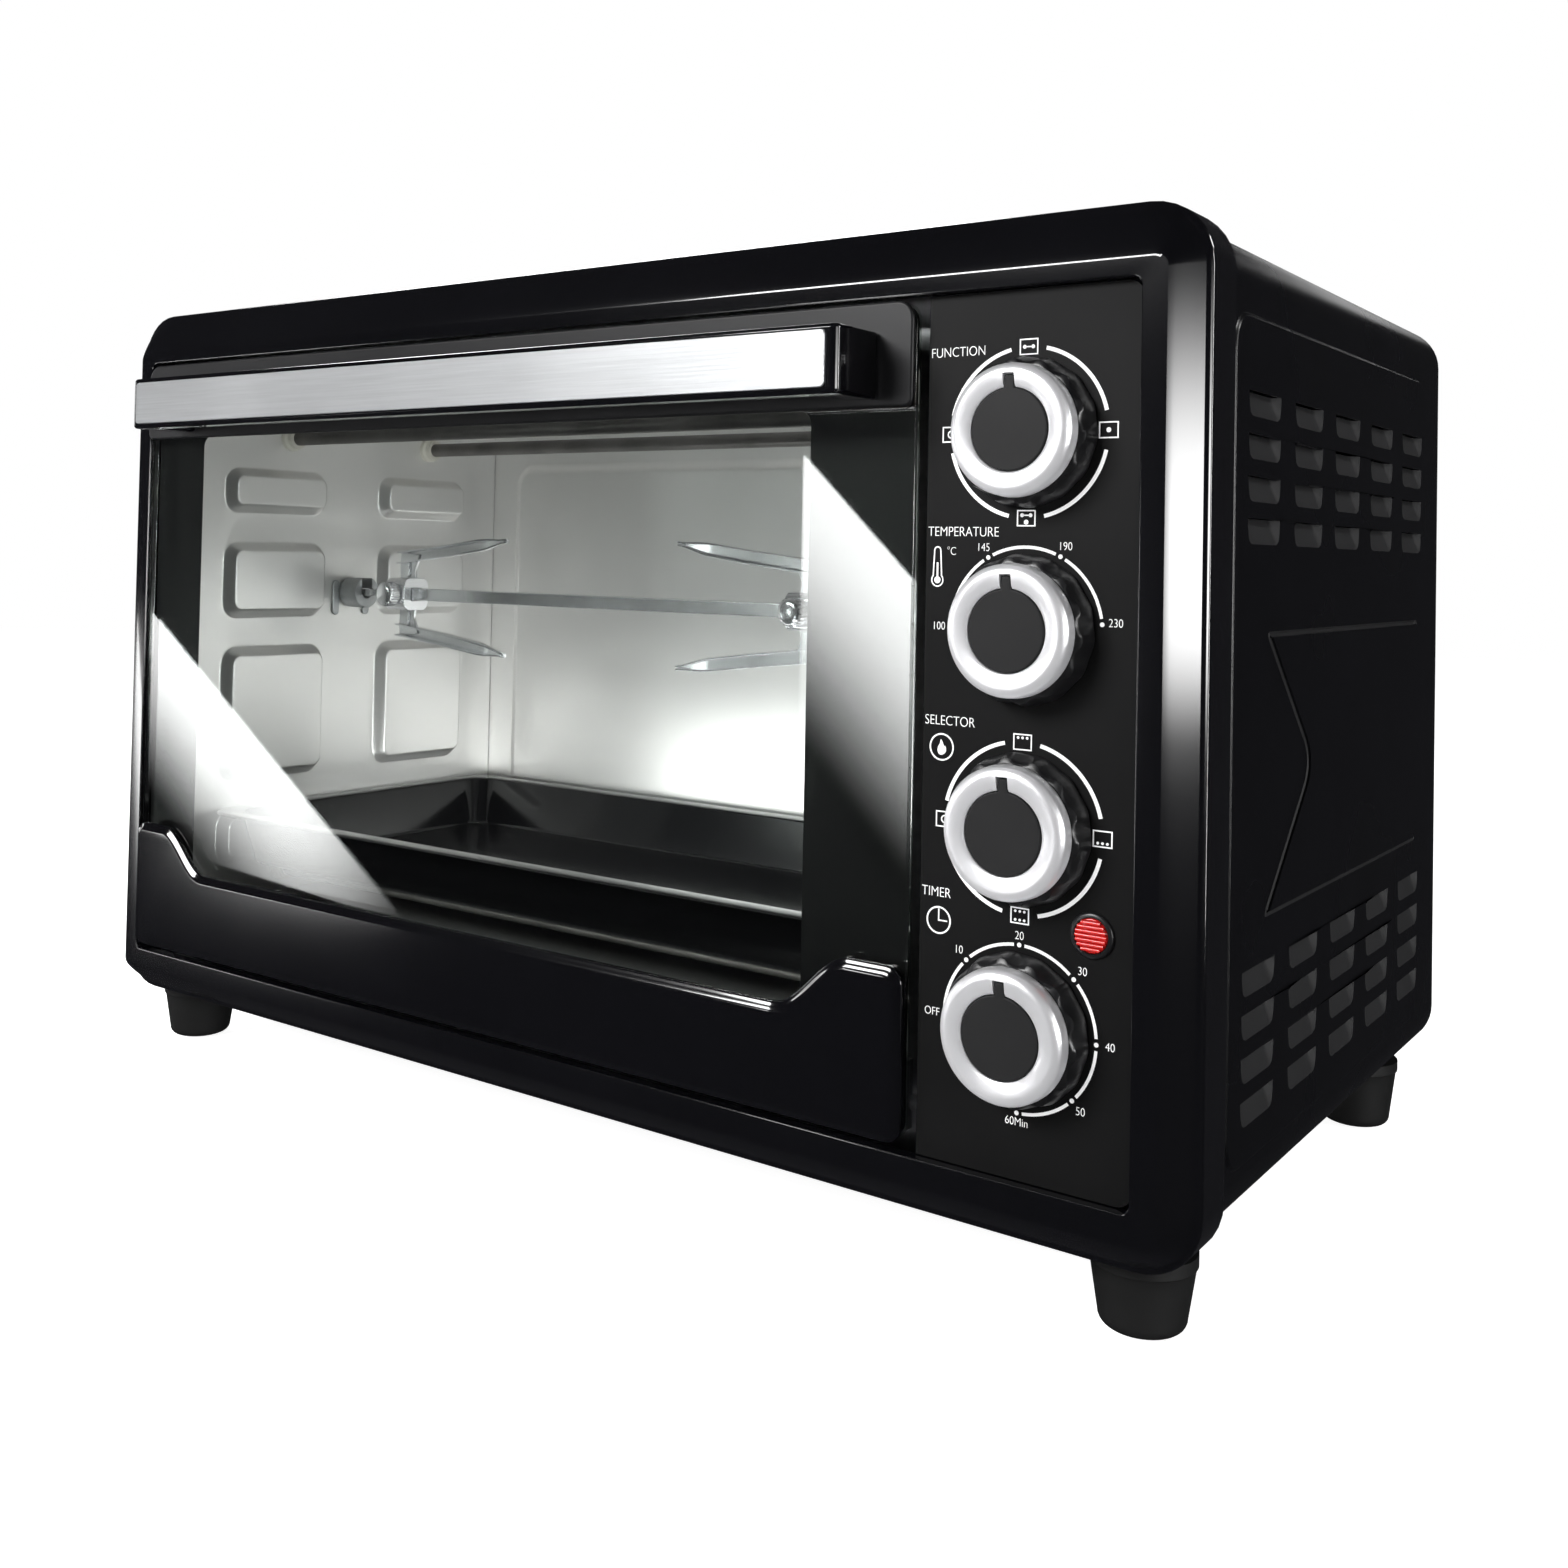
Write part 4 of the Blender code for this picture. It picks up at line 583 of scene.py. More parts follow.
def make_cabinet(size):
    """Bent steel cabinet: rounded long edges, pressed side panels with louvres and a waisted groove."""
    form = Form()
    corner, turn = size.shell_corner, 10
    half, low, high = SHELL_HIGH.x, SHELL_LOW.z, SHELL_HIGH.z
    start, end = SHELL_LOW.y, SHELL_HIGH.y
    bend = end - size.rear_round

    def path(draw):
        inner = half - corner
        radius = corner - draw
        points = arc((-inner, low + corner), radius, 270, 180, turn)
        points += arc((-inner, high - corner), radius, 180, 90, turn)
        points += arc((inner, high - corner), radius, 90, 0, turn)
        return points + arc((inner, low + corner), radius, 0, -90, turn)

    section = path(0)
    spans = (section[:turn + 1], section[turn + 1:3 * turn + 3], section[3 * turn + 3:])
    for span in spans:
        form.loft([[front(x, z, y) for x, z in span] for y in (start, bend)], caps=False, closed=False)
    rear = []
    for step in range(7):
        angle = math.radians(75 * step / 6)
        draw = size.rear_round * (1 - math.cos(angle))
        y = bend + size.rear_round * math.sin(angle) / math.sin(math.radians(75))
        rear.append([front(x, z, y) for x, z in path(draw)])
    form.loft(rear, caps=False, closed=False)

    border = rounded(FACE + 0.034, FACE + 0.270, low + 0.0200, high - 0.026, 0.012)
    middle, waist, wide = FACE + WAIST_MIDDLE, 0.052, 0.0965
    foot, head = BEZEL_LOW.z + WAIST_FOOT, BEZEL_LOW.z + WAIST_HEAD
    neck = ((foot + head) / 2 - 0.004, (foot + head) / 2 + 0.004)
    flank = ((wide, foot, 0.005), (waist, neck[0], 0.006), (waist, neck[1], 0.006), (wide, head, 0.005))
    right = [(middle + w, z, r) for w, z, r in flank]
    left = [(middle - w, z, r) for w, z, r in flank[::-1]]
    hourglass = bent(right + left)
    groove = [inset(hourglass, amount) for amount in (0, 0.0004, 0.0009, 0.0014, 0.0018)]
    for name, hand in (("left", -1), ("right", 1)):
        holes = [hourglass]
        scoops = Form()
        upper = BEZEL_HIGH.z - LOUVRE_UPPER
        lower = BEZEL_LOW.z + LOUVRE_LOWER + LOUVRE_ROW * (size.louvre_rows - 1)
        for group in (upper, lower):
            for row in range(size.louvre_rows):
                for column in range(size.louvre_columns):
                    y = FACE + LOUVRE_FIRST + LOUVRE_COLUMN * column
                    holes.append(louvre(scoops, size, hand, y, group - LOUVRE_ROW * row + 0.009))
        form.fill([rounded(start, bend, low + corner, high - corner, 0), border], side, hand * half)
        rise = hand * PANEL_RISE
        form.stamp(border, side, hand * half, 0.0016, rise, holes)
        depths = [hand * (half + PANEL_RISE - sunk) for sunk in (0, 0.0004, 0.0007, 0.0004, 0)]
        rings = [[side(a, b, depth) for a, b in outline] for outline, depth in zip(groove, depths)]
        scoops.loft(rings, caps=False)
        form.fill([groove[-1]], side, depths[-1])
        # The louvres and the groove take the lighter grey look, a painted sheen on the black cabinet paint.
        scoops.piece(f"pressings_{name}", "chassis", "cabinet_paint", LOOKS["pressed"], sheet=size.sheet,
                     facing=(hand, 0, 0), sharp=40)
    form.piece("cabinet", "chassis", "cabinet_paint", LOOKS["cabinet"], ("cabinet_shell",),
               sheet=size.sheet, facing=(0, 0, 1), sharp=40)


def screw_head(form, centre, axis, radius=0.0034):
    """A pan-head screw with a cross recess."""
    axis = Vector(axis)
    across = axis.orthogonal().normalized()
    third = axis.cross(across)
    form.turned([(radius, 0), (radius, 0.0006), (radius * 0.8, 0.0016), (radius * 0.55, 0.0020)], centre,
                axis, 24)
    arm, thin = radius * 0.5, radius * 0.13
    cross = [(arm, -thin), (arm, thin), (thin, thin), (thin, arm), (-thin, arm), (-thin, thin), (-arm, thin),
             (-arm, -thin), (-thin, -thin), (-thin, -arm), (thin, -arm), (thin, -thin)]

    def plane(a, b, depth):
        return Vector(centre) + across * a + third * b + axis * depth

    form.plate([circle((0, 0), radius * 0.55, 24), cross], plane, 0.0018, 0.0023)


def make_feet():
    """Four tapered rubber feet with rounded soles."""
    for end in ("front", "rear"):
        for hand in ("left", "right"):
            node = f"foot_{end}_{hand}"
            low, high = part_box(node)
            radius = (high.x - low.x) / 2
            centre = ((low.x + high.x) / 2, (low.y + high.y) / 2, 0)
            sole = radius - 0.0030
            profile = [(0, high.z), (radius, high.z), (radius, high.z - 0.004),
                       (radius - 0.0006, high.z - 0.0048)]
            for share in (0.25, 0.5, 0.75, 1.0):
                profile.append((mix(radius - 0.0006, sole, share), mix(high.z - 0.0048, 0.0035, share)))
            profile += [(sole - 0.0035 + a, 0.0035 + b) for a, b in arc((0, 0), 0.0035, 0, -90, 6)]
            profile += [(sole - 0.006, 0), (sole - 0.007, 0.0008), (0, 0.0008)]
            form = Form().turned(profile, centre, (0, 0, 1), 48)
            form.piece(node + "_moulded", "chassis", "foot_rubber", LOOKS["rubber"], (node,))


def make_back():
    """Screws of the rear, the spacer and the base, and the finishes of what the frame already shapes."""
    keep("zinc", "back_panel", "base_plate", "front_frame")
    keep("rubber", "cord_gland")
    keep("panel", "rear_spacer")
    low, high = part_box("back_panel")
    form = Form()
    for x in (low.x + 0.022, (low.x + high.x) / 2, high.x - 0.022):
        for z in (low.z + 0.014, high.z - 0.014):
            screw_head(form, (x, high.y, z), (0, 1, 0))
    for z in (0.13, 0.23):
        for x in (low.x + 0.012, high.x - 0.012):
            screw_head(form, (x, high.y, z), (0, 1, 0))
    spacer_low, spacer_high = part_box("rear_spacer")
    for x in (spacer_low.x + 0.012, spacer_high.x - 0.012):
        screw_head(form, (x, spacer_high.y - 0.0026, (spacer_low.z + spacer_high.z) / 2), (0, 1, 0))
    base_low, base_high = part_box("base_plate")
    for x in (base_low.x + 0.020, base_high.x - 0.020):
        for y in (-0.06, 0.07):
            screw_head(form, (x, y, base_low.z), (0, 0, -1))
    form.piece("casing_screws", "chassis", "zinc_steel", LOOKS["zinc"], sharp=30)


class OVEN_OT_casing(bpy.types.Operator):
    """Bezel, cabinet, feet, back and screws"""
    bl_idname = "oven.casing"
    bl_label = "Casing"

    def execute(self, context):
        size = context.scene.oven_casing
        make_bezel(size)
        make_cabinet(size)
        make_feet()
        make_back()
        return {"FINISHED"}


# --- Cavity -------------------------------------------------------------------------------------

PAD_ROWS = (0.0270, 0.0655, 0.0380, 0.0230)
GUIDE_GAP = 0.0130


def make_side_wall(size, name, hand, skip_rear):
    """A cavity side with pressed pads that leave level guides between them."""
    low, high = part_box(name)
    face = low.x + 0.001 if hand > 0 else high.x - 0.001
    outlines = []
    for column, y in enumerate((low.y + 0.012, low.y + 0.108)):
        z = low.z + 0.0165
        for row, height in enumerate(PAD_ROWS):
            if not (column == 1 and row in skip_rear):
                outlines.append(rounded(y, y + 0.062, z, z + height, min(0.009, height * 0.36)))
            z += height + GUIDE_GAP
    form = Form()
    form.fill([rounded(low.y, high.y, low.z, high.z, 0)] + outlines, side, face)
    for outline in outlines:
        form.stamp(outline, side, face, size.pad_taper, hand * (size.pad_depth - 0.0002))
    return form.piece(name + "_pressed", "chassis", "cavity_steel", LOOKS["steel"], (name,),
                      sheet=0.0008, facing=(hand, 0, 0), sharp=40)


def make_cavity_back():
    """Rear cavity sheet with one broad sunk panel."""
    low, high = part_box("cavity_back_wall")
    panel = rounded(low.x + 0.018, high.x - 0.018, low.z + 0.020, high.z - 0.020, 0.014)
    form = Form()
    form.fill([rounded(low.x, high.x, low.z, high.z, 0), panel], front, low.y)
    form.stamp(panel, front, low.y, 0.006, -0.0022)
    form.piece("cavity_back_pressed", "chassis", "cavity_steel", LOOKS["steel"], ("cavity_back_wall",),
               sheet=0.0008, facing=(0, -1, 0), sharp=40)


def make_heaters(size):
    """Four sheathed heating rods, each with a ceramic collar at both walls."""
    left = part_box("cavity_left_wall")[0].x + 0.001
    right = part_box("cavity_right_wall")[1].x - 0.001
    collars = Form()
    for node in ("heater_upper_front", "heater_upper_rear", "heater_lower_front", "heater_lower_rear"):
        low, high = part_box(node)
        radius = (high.z - low.z) / 2
        centre = (low.x, (low.y + high.y) / 2, (low.z + high.z) / 2)
        span = high.x - low.x
        profile = [(0, 0), (radius - 0.0006, 0), (radius, 0.0006), (radius, span - 0.0006),
                   (radius - 0.0006, span), (0, span)]
        Form().turned(profile, centre, (1, 0, 0), 24).piece(
            node + "_sheath", "chassis", "heater_steel", LOOKS["heater"], (node,)
        )
        for x, hand in ((left, 1), (right, -1)):
            place = (x, centre[1], centre[2])
            wide = size.collar_radius
            collars.turned(
                [(radius, 0), (wide, 0), (wide, 0.0022), (wide - 0.001, 0.0032),
                 (radius + 0.0016, 0.0058), (radius, 0.0058)],
                place, (hand, 0, 0), 28,
            )
    collars.piece("heater_collars", "chassis", "switch_plastic", LOOKS["ceramic"])


def make_fan_guard():
    """Round guard with level slots, over the convection fan."""
    low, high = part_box("fan_guard")
    centre = ((low.y + high.y) / 2, (low.z + high.z) / 2)
    flange = (high.y - low.y) / 2
    radius = flange - 0.0035
    mouth = radius - 0.004
    slots = []
    for row in range(-3, 4):
        drop = 0.0085 * row
        half = math.sqrt((mouth - 0.003) ** 2 - drop * drop)
        slots.append(rounded(centre[0] - half, centre[0] + half, centre[1] + drop - 0.0022, centre[1]
                             + drop + 0.0022, 0.0021, 4))
    form = Form()
    form.plate([circle(centre, mouth, 64)] + slots, side, low.x, low.x + 0.0008)
    base = high.x - low.x
    profile = [
        (mouth, 0), (radius - 0.001, 0.0012), (radius, 0.004), (radius, base - 0.0010),
        (flange, base - 0.0008), (flange, base),
        (radius - 0.0008, base), (radius - 0.0008, 0.0042), (radius - 0.0016, 0.0020), (mouth, 0.0008),
    ]
    rings = []
    for step in range(64):
        angle = 2 * math.pi * step / 64
        rings.append([side(centre[0] + r * math.cos(angle), centre[1] + r * math.sin(angle), low.x + h)
                      for r, h in profile])
    form.loft(rings, wrap=True)
    form.piece("fan_guard_pressed", "chassis", "cavity_steel", LOOKS["steel"], ("fan_guard",))


def make_tray(size):
    """Enamelled tray with a rolled rim, tapered sides and a filleted floor."""
    low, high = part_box("baking_tray")
    corner = size.tray_corner
    brim = high.z

    def ring(draw, z, radius):
        return [level(x, y, z) for x,
                y in rounded(low.x + draw, high.x - draw, low.y + draw, high.y - draw, radius, 8)]

    floor = low.z
    outer = [
        ring(0.0190, floor, corner * 0.45), ring(0.0165, floor + 0.0004, corner * 0.55),
        ring(0.0148, floor + 0.0022, corner * 0.62),
        ring(0.0100, brim - 0.0024, corner * 0.72), ring(0.0086, brim - 0.0010, corner * 0.78),
        ring(0.0022, brim - 0.0010, corner - 0.001), ring(0.0008, brim - 0.0012, corner),
        ring(0, brim - 0.0005, corner),
    ]
    inner = [
        ring(0.0008, brim, corner), ring(0.0024, brim, corner - 0.001), ring(0.0086, brim, corner * 0.78),
        ring(0.0104, brim - 0.0010, corner * 0.72), ring(0.0158, floor + 0.0028, corner * 0.60),
        ring(0.0174, floor + 0.0014, corner * 0.55), ring(0.0200, floor + 0.0010, corner * 0.45),
    ]
    Form().loft(outer + inner).piece("tray_enamelled", "tray", "tray_enamel", LOOKS["enamel"],
                                     ("baking_tray",), sharp=50)


class OVEN_OT_cavity(bpy.types.Operator):
    """Cooking space: pressed walls, heating rods, fan guard and tray"""
    bl_idname = "oven.cavity"
    bl_label = "Cavity"

    def execute(self, context):
        size = context.scene.oven_cavity
        make_side_wall(size, "cavity_left_wall", 1, ())
        make_side_wall(size, "cavity_right_wall", -1, (1, 2))
        make_cavity_back()
        make_heaters(size)
        make_fan_guard()
        make_tray(size)
        keep("steel", "cavity_floor", "cavity_ceiling", "fan_impeller")
        keep("zinc", "fan_motor", "spit_motor")
        return {"FINISHED"}


# --- Spit ---------------------------------------------------------------------------------------

def spit_axis():
    low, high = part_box("spit_rod")
    return (low.y + high.y) / 2, (low.z + high.z) / 2


def make_rod():
    """Square spit with softened edges, a waisted round end and a pointed tip."""
    low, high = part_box("spit_rod")
    y, z = spit_axis()
    half = (high.z - low.z) / 2
    soft = 0.0007
    square = rounded(-half, half, -half, half, soft, 3)
    turn = [math.degrees(math.atan2(b, a)) for a, b in square]

    def ring(x, share, radius):
        points = []
        for (a, b), angle in zip(square, turn):
            c, d = radius * math.cos(math.radians(angle)), radius * math.sin(math.radians(angle))
            points.append(side(y + mix(c, a, share), z + mix(d, b, share), x))
        return points

    start = low.x
    stations = ((0, 0, 0.0012), (0.0012, 0, 0.0025), (0.0150, 0, 0.0025), (0.0165, 0, 0.0018),
                (0.0190, 0, 0.0018),
                (0.0230, 0.6, 0.0026), (0.0270, 1, 0.003))
    rings = [ring(start + x, share, radius) for x, share, radius in stations]
    rings.append(ring(high.x, 1, half))
    Form().loft(rings).piece("spit_bar", "spit", "spit_chrome", LOOKS["chrome"], ("spit_rod",), sharp=25)


def make_ends():
    """Cradle on the left wall and the driven socket on the right."""
    y, z = spit_axis()
    low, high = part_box("spit_hanger")
    radius = (high.y - low.y) / 2
    bore = 0.0031
    gap = math.degrees(math.asin(bore / radius))
    outline = arc((y, z), radius, 90 + gap, 450 - gap, 30) + arc((y, z), bore, 360, 180, 14)
    form = Form()
    form.plate([outline], side, low.x + 0.001, high.x)
    form.plate([rounded(y - 0.012, y - radius + 0.0002, z - 0.0120, z + 0.006, 0.002)], side, low.x,
               low.x + 0.0012)
    form.plate([rounded(y + radius - 0.0002, y + 0.012, z - 0.0120, z + 0.006, 0.002)], side, low.x,
               low.x + 0.0012)
    form.piece("spit_cradle", "chassis", "zinc_steel", LOOKS["zinc"], ("spit_hanger",), edge=0.0005)
    low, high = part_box("drive_socket")
    radius = (high.y - low.y) / 2
    hole = 0.0033
    form = Form()
    form.plate([circle((y, z), radius, 40), rounded(y - hole, y + hole, z - hole, z + hole, 0)], side,
               low.x, low.x + 0.0115)
    form.plate([circle((y, z), radius, 40)], side, low.x + 0.0115, high.x)
    form.piece("spit_drive", "spit", "zinc_steel", LOOKS["zinc"], ("drive_socket",), edge=0.0006)


def make_fork(size, node, body, screw_node, screw_body):
    """Two folded tines with pointed ends on a hub, and the knurled thumbscrew that clamps it."""
    y, z = spit_axis()
    low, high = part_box(node)
    screw_low, screw_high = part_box(screw_node)
    x = (screw_low.x + screw_high.x) / 2
    forward = 1 if high.x - x > x - low.x else -1
    reach = max(high.x - x, x - low.x)
    half, deep, thin = size.tine_width / 2, size.tine_fold / 2, 0.0009
    form = Form()

    def channel(a, centre, width, depth):
        """A U-section open to the front, as a closed ring."""
        w, d = width, depth
        points = [(-d, w), (d, w), (d, -w), (-d, -w), (-d, thin - w), (d - thin, thin - w),
                  (d - thin, w - thin), (-d, w - thin)]
        return [side(y + p, z + centre + q, x + forward * a) for p, q in points]

    for up in (-1, 1):
        rings = []
        for a, width, depth in ((-0.0055, half, deep), (reach * 0.40, half, deep),
                                (reach * 0.74, half * 0.96, deep * 0.9),
                                (reach * 0.80, half * 0.86, deep * 0.6),
                                (reach * 0.93, half * 0.42, deep * 0.42),
                                (reach - 0.0005, 0.0011, 0.0010)):
            rings.append(channel(a, up * mix(size.tine_root, size.tine_tip, max(0, a) / reach), width,
                                 depth))
        form.loft(rings)
        root = size.tine_root
        arm = [(-0.0055, 0.006), (0.0055, 0.006), (0.0045, root - half * 2), (0.0080, root + half * 0.6),
               (-0.0055, root + half), (-0.0060, root - half * 1.5)]
        arm = [(x + forward * a, z + up * b) for a, b in arm]
        if forward * up < 0:
            arm = arm[::-1]
        form.plate([arm], front, y + deep - 0.0016, y + deep)
        bead = rounded(-0.0015, 0.0015, 0.0085, root - 0.002, 0.0012, 3)
        bead = [(x + forward * a, z + up * b) for a, b in bead]
        form.plate([bead], front, y + deep - 0.0026, y + deep - 0.0012)
    hub, long, hole = 0.0080, 0.0070, 0.0033
    outline = rounded(y - hub, y + hub, z - hub, z + hub, 0.0040, 5)
    form.plate([outline, rounded(y - hole, y + hole, z - hole, z + hole, 0)], side, x - long, x + long)
    form.piece(node + "_folded", body, "spit_chrome", LOOKS["chrome"], (node,), edge=0.0004, sharp=30)

    radius = (screw_high.x - screw_low.x) / 2
    head = screw_low.y
    profile = [(0, 0), (radius * 0.55, 0.0001), (radius * 0.80, 0.0006), (radius, 0.0018, 0.0004),
               (radius, 0.0064, 0.0004),
               (radius * 0.86, 0.0078), (0.0021, 0.0080), (0.0020, screw_high.y - head),
               (0, screw_high.y - head)]
    form = Form().turned(profile, (x, head, z), (0, 1, 0), size.knurls * 6, size.knurls)
    form.piece(screw_node + "_knurled", screw_body, "spit_chrome", LOOKS["chrome"], (screw_node,), sharp=50)


class OVEN_OT_spit(bpy.types.Operator):
    """Spit, its cradle and drive, and the two meat forks"""
    bl_idname = "oven.spit"
    bl_label = "Spit"

    def execute(self, context):
        size = context.scene.oven_spit
        make_rod()
        make_ends()
        for hand in ("left", "right"):
            make_fork(size, f"fork_{hand}", f"fork_{hand}_body", f"thumbscrew_{hand}",
                      f"thumbscrew_{hand}_body")
        return {"FINISHED"}


# --- Controls -----------------------------------------------------------------------------------

PANEL_FACE = FACE + 0.0035


def knob_centre(name):
    low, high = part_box(f"{name}_ring")
    return (low.x + high.x) / 2, (low.z + high.z) / 2


def make_control_panel():
    """Recessed panel with round right corners, shaft holes and a flange at its left."""
    outline = rounded(FASCIA_LOW.x, FASCIA_HIGH.x, FASCIA_LOW.z, FASCIA_HIGH.z, (0.005, 0.005, 0, 0))
    lamp_low, lamp_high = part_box("indicator_lens")
    lamp = ((lamp_low.x + lamp_high.x) / 2, (lamp_low.z + lamp_high.z) / 2)
    holes = [circle(knob_centre(name), 0.004) for name in CONTROLS]
    holes.append(circle(lamp, (lamp_high.x - lamp_low.x) / 2 + 0.0003))
    form = Form()
    form.plate([outline] + holes, front, PANEL_FACE, PANEL_FACE + 0.0025)
    form.piece("control_panel", "chassis", "panel_matt", LOOKS["panel"], ("control_fascia",), edge=0.0006)
    form = Form()
    form.block((FASCIA_LOW.x, PANEL_FACE + 0.0026, 0.0695),
               (FASCIA_LOW.x + 0.0015, FASCIA_HIGH.y, FASCIA_HIGH.z - 0.002))
    form.piece("control_flange", "chassis", "panel_matt", LOOKS["panel"], edge=0.0003)


def make_lamp():
    """Ribbed red lens in a dark ring."""
    low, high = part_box("indicator_lens")
    x, z = (low.x + high.x) / 2, (low.z + high.z) / 2
    radius = (high.x - low.x) / 2
    form = Form()
    profile = [(0, 0), (radius, 0), (radius, high.y - PANEL_FACE + 0.0006),
               (radius - 0.0006, high.y - PANEL_FACE + 0.0012),
               (0, high.y - PANEL_FACE + 0.0012)]
    form.turned(profile, (x, high.y, z), (0, -1, 0), 40)
    for row in range(-3, 4):
        drop = row * 0.0013
        half = math.sqrt((radius - 0.0004) ** 2 - drop * drop)
        ring = [(PANEL_FACE - 0.0011 - 0.0009 * math.sin(math.radians(a)), z
                 + drop - 0.00062 * math.cos(math.radians(a)))
                for a in range(0, 181, 30)]
        form.loft([[Vector((x + end, a, b)) for a, b in ring] for end in (-half, half)])
    form.piece("lamp_lens", "chassis", "lens_red", LOOKS["lens"], ("indicator_lens",), sharp=60)
    form = Form()
    profile = [(radius + 0.0001, 0), (radius + 0.0016, 0), (radius + 0.0016, 0.0006),
               (radius + 0.0010, 0.0012),
               (radius + 0.0001, 0.0012)]
    rings = []
    for step in range(40):
        angle = 2 * math.pi * step / 40
        rings.append([front(x + r * math.cos(angle), z + r * math.sin(angle), PANEL_FACE - h) for r,
                      h in profile])
    form.loft(rings, wrap=True)
    form.piece("lamp_ring", "chassis", "knob_black", LOOKS["knob"], sharp=50)


def make_knob(size, name):
    """Faceted skirt with a grey cap and pointer, and a notched bright ring."""
    x, z = knob_centre(name)
    base = PANEL_FACE
    skirt_low, skirt_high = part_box(f"{name}_knob")
    ring_low, ring_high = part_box(f"{name}_ring")
    radius = (skirt_high.x - skirt_low.x) / 2
    outer = (ring_high.x - ring_low.x) / 2
    top = base - ring_low.y
    seat = base - ring_high.y
    foot = base - skirt_high.y
    bore = 0.0128
    body = f"{name}_control"

    profile = [(0, seat + 0.004), (bore - 0.0004, seat + 0.004), (bore - 0.0004, seat),
               (outer - 0.0002, seat),
               (radius - 0.0022, seat, 0.0010), (radius - 0.0010, seat - 0.0008, 0.0012),
               (radius, foot + 0.0008, 0.0006),
               (radius, foot, 0.0004), (0.0034, foot), (0.0034, seat), (0, seat)]
    form = Form().turned(profile, (x, base, z), (0, -1, 0), size.flutes * 8, size.flutes)
    form.piece(f"{name}_skirt", body, "knob_black", LOOKS["knob"], (f"{name}_knob",), sharp=40)

    half = size.ring_notch / 2
    tip = bore + 0.0036
    form = Form()
    face = top - 0.0009
    start = math.degrees(math.asin(half / (bore - 0.0003)))
    outline = arc((0, 0), bore - 0.0003, 90 + start, 450 - start, 56)
    outline += [(half, tip - 0.001)] + arc((half - 0.001, tip - 0.001), 0.001, 0, 90, 3)
    outline += arc((0.001 - half, tip - 0.001), 0.001, 90, 180, 3)
    outline = [(x + a, z + b) for a, b in outline]
    form.plate([outline], front, base - face, base - seat - 0.0035)
    form.piece(f"{name}_cap", body, "knob_black", LOOKS["cap"], edge=0.0004, steps=3)

    side_gap = half + 0.0003
    notch = math.degrees(math.asin(side_gap / bore))

    def cheek(r):
        """Angle of the notch's first straight side at a radius."""
        return 180 - math.degrees(math.acos(side_gap / r))

    def section(inner, turn):
        """The ring's closed section, turned by an angle that may depend on the radius."""
        points = []
        for r, h in (
            (outer - 0.0002, seat + 0.0002), (outer, seat + 0.0010), (outer - 0.0002, top - 0.0022),
            (outer - 0.0008, top - 0.0011), (outer - 0.0020, top - 0.0003), (outer - 0.0032, top),
            (max(inner + 0.0004, bore + 0.0010), top - 0.0006), (inner, top - 0.0014),
            (inner, seat + 0.0002),
        ):
            angle = math.radians(turn(r))
            points.append(front(x + r * math.cos(angle), z + r * math.sin(angle), base - h))
        return points

    beyond = tip + 0.0003
    rings = [section(beyond, cheek), section(bore, cheek)]
    for step in range(1, 72):
        rings.append(section(bore, lambda r: 90 + notch + (360 - 2 * notch) * step / 72))
    rings.append(section(bore, lambda r: 540 - cheek(r)))
    rings.append(section(beyond, lambda r: 540 - cheek(r)))
    form = Form().loft(rings, wrap=True)
    form.piece(f"{name}_bezel", body, "knob_chrome", LOOKS["ring"], (f"{name}_ring",), sharp=38)


def band(form, centre, radius, width, start, end, low, high):
    """Part of a printed ring; angles in degrees clockwise from the top."""
    steps = max(6, int(abs(end - start) / 4))
    outer = arc(centre, radius + width / 2, 90 - start, 90 - end, steps)
    inner = arc(centre, radius - width / 2, 90 - end, 90 - start, steps)
    form.plate([outer + inner], front, low, high)


def icon(form, x, z, kind, low, high):
    """A small framed picture: what turns or heats at this setting."""
    wide, tall, line = 0.0031, 0.0025, 0.0004
    form.plate([rounded(x - wide, x + wide, z - tall, z + tall, 0),
                rounded(x - wide + line, x + wide - line, z - tall + line, z + tall - line, 0)], front,
                low, high)

    def dots(height, radius, places):
        for place in places:
            form.plate([circle((x + place, z + height), radius, 14)], front, low, high)

    if kind in ("spit", "spit_fan"):
        lift = 0.0009 if kind == "spit_fan" else 0
        form.plate([rounded(x - 0.0012, x + 0.0012, z + lift - 0.0002, z + lift + 0.0002, 0)], front, low,
                   high)
        dots(lift, 0.00062, (-0.0014, 0.0014))
    if kind in ("fan", "spit_fan"):
        dots(-0.0012 if kind == "spit_fan" else 0, 0.00075, (0,))
    if kind in ("upper", "both"):
        dots(0.0013, 0.00042, (-0.0015, 0, 0.0015))
    if kind in ("lower", "both"):
        dots(-0.0013, 0.00042, (-0.0015, 0, 0.0015))
    if kind == "off":
        form.plate([circle((x, z), 0.0013, 16), circle((x, z), 0.0009, 16)], front, low, high)


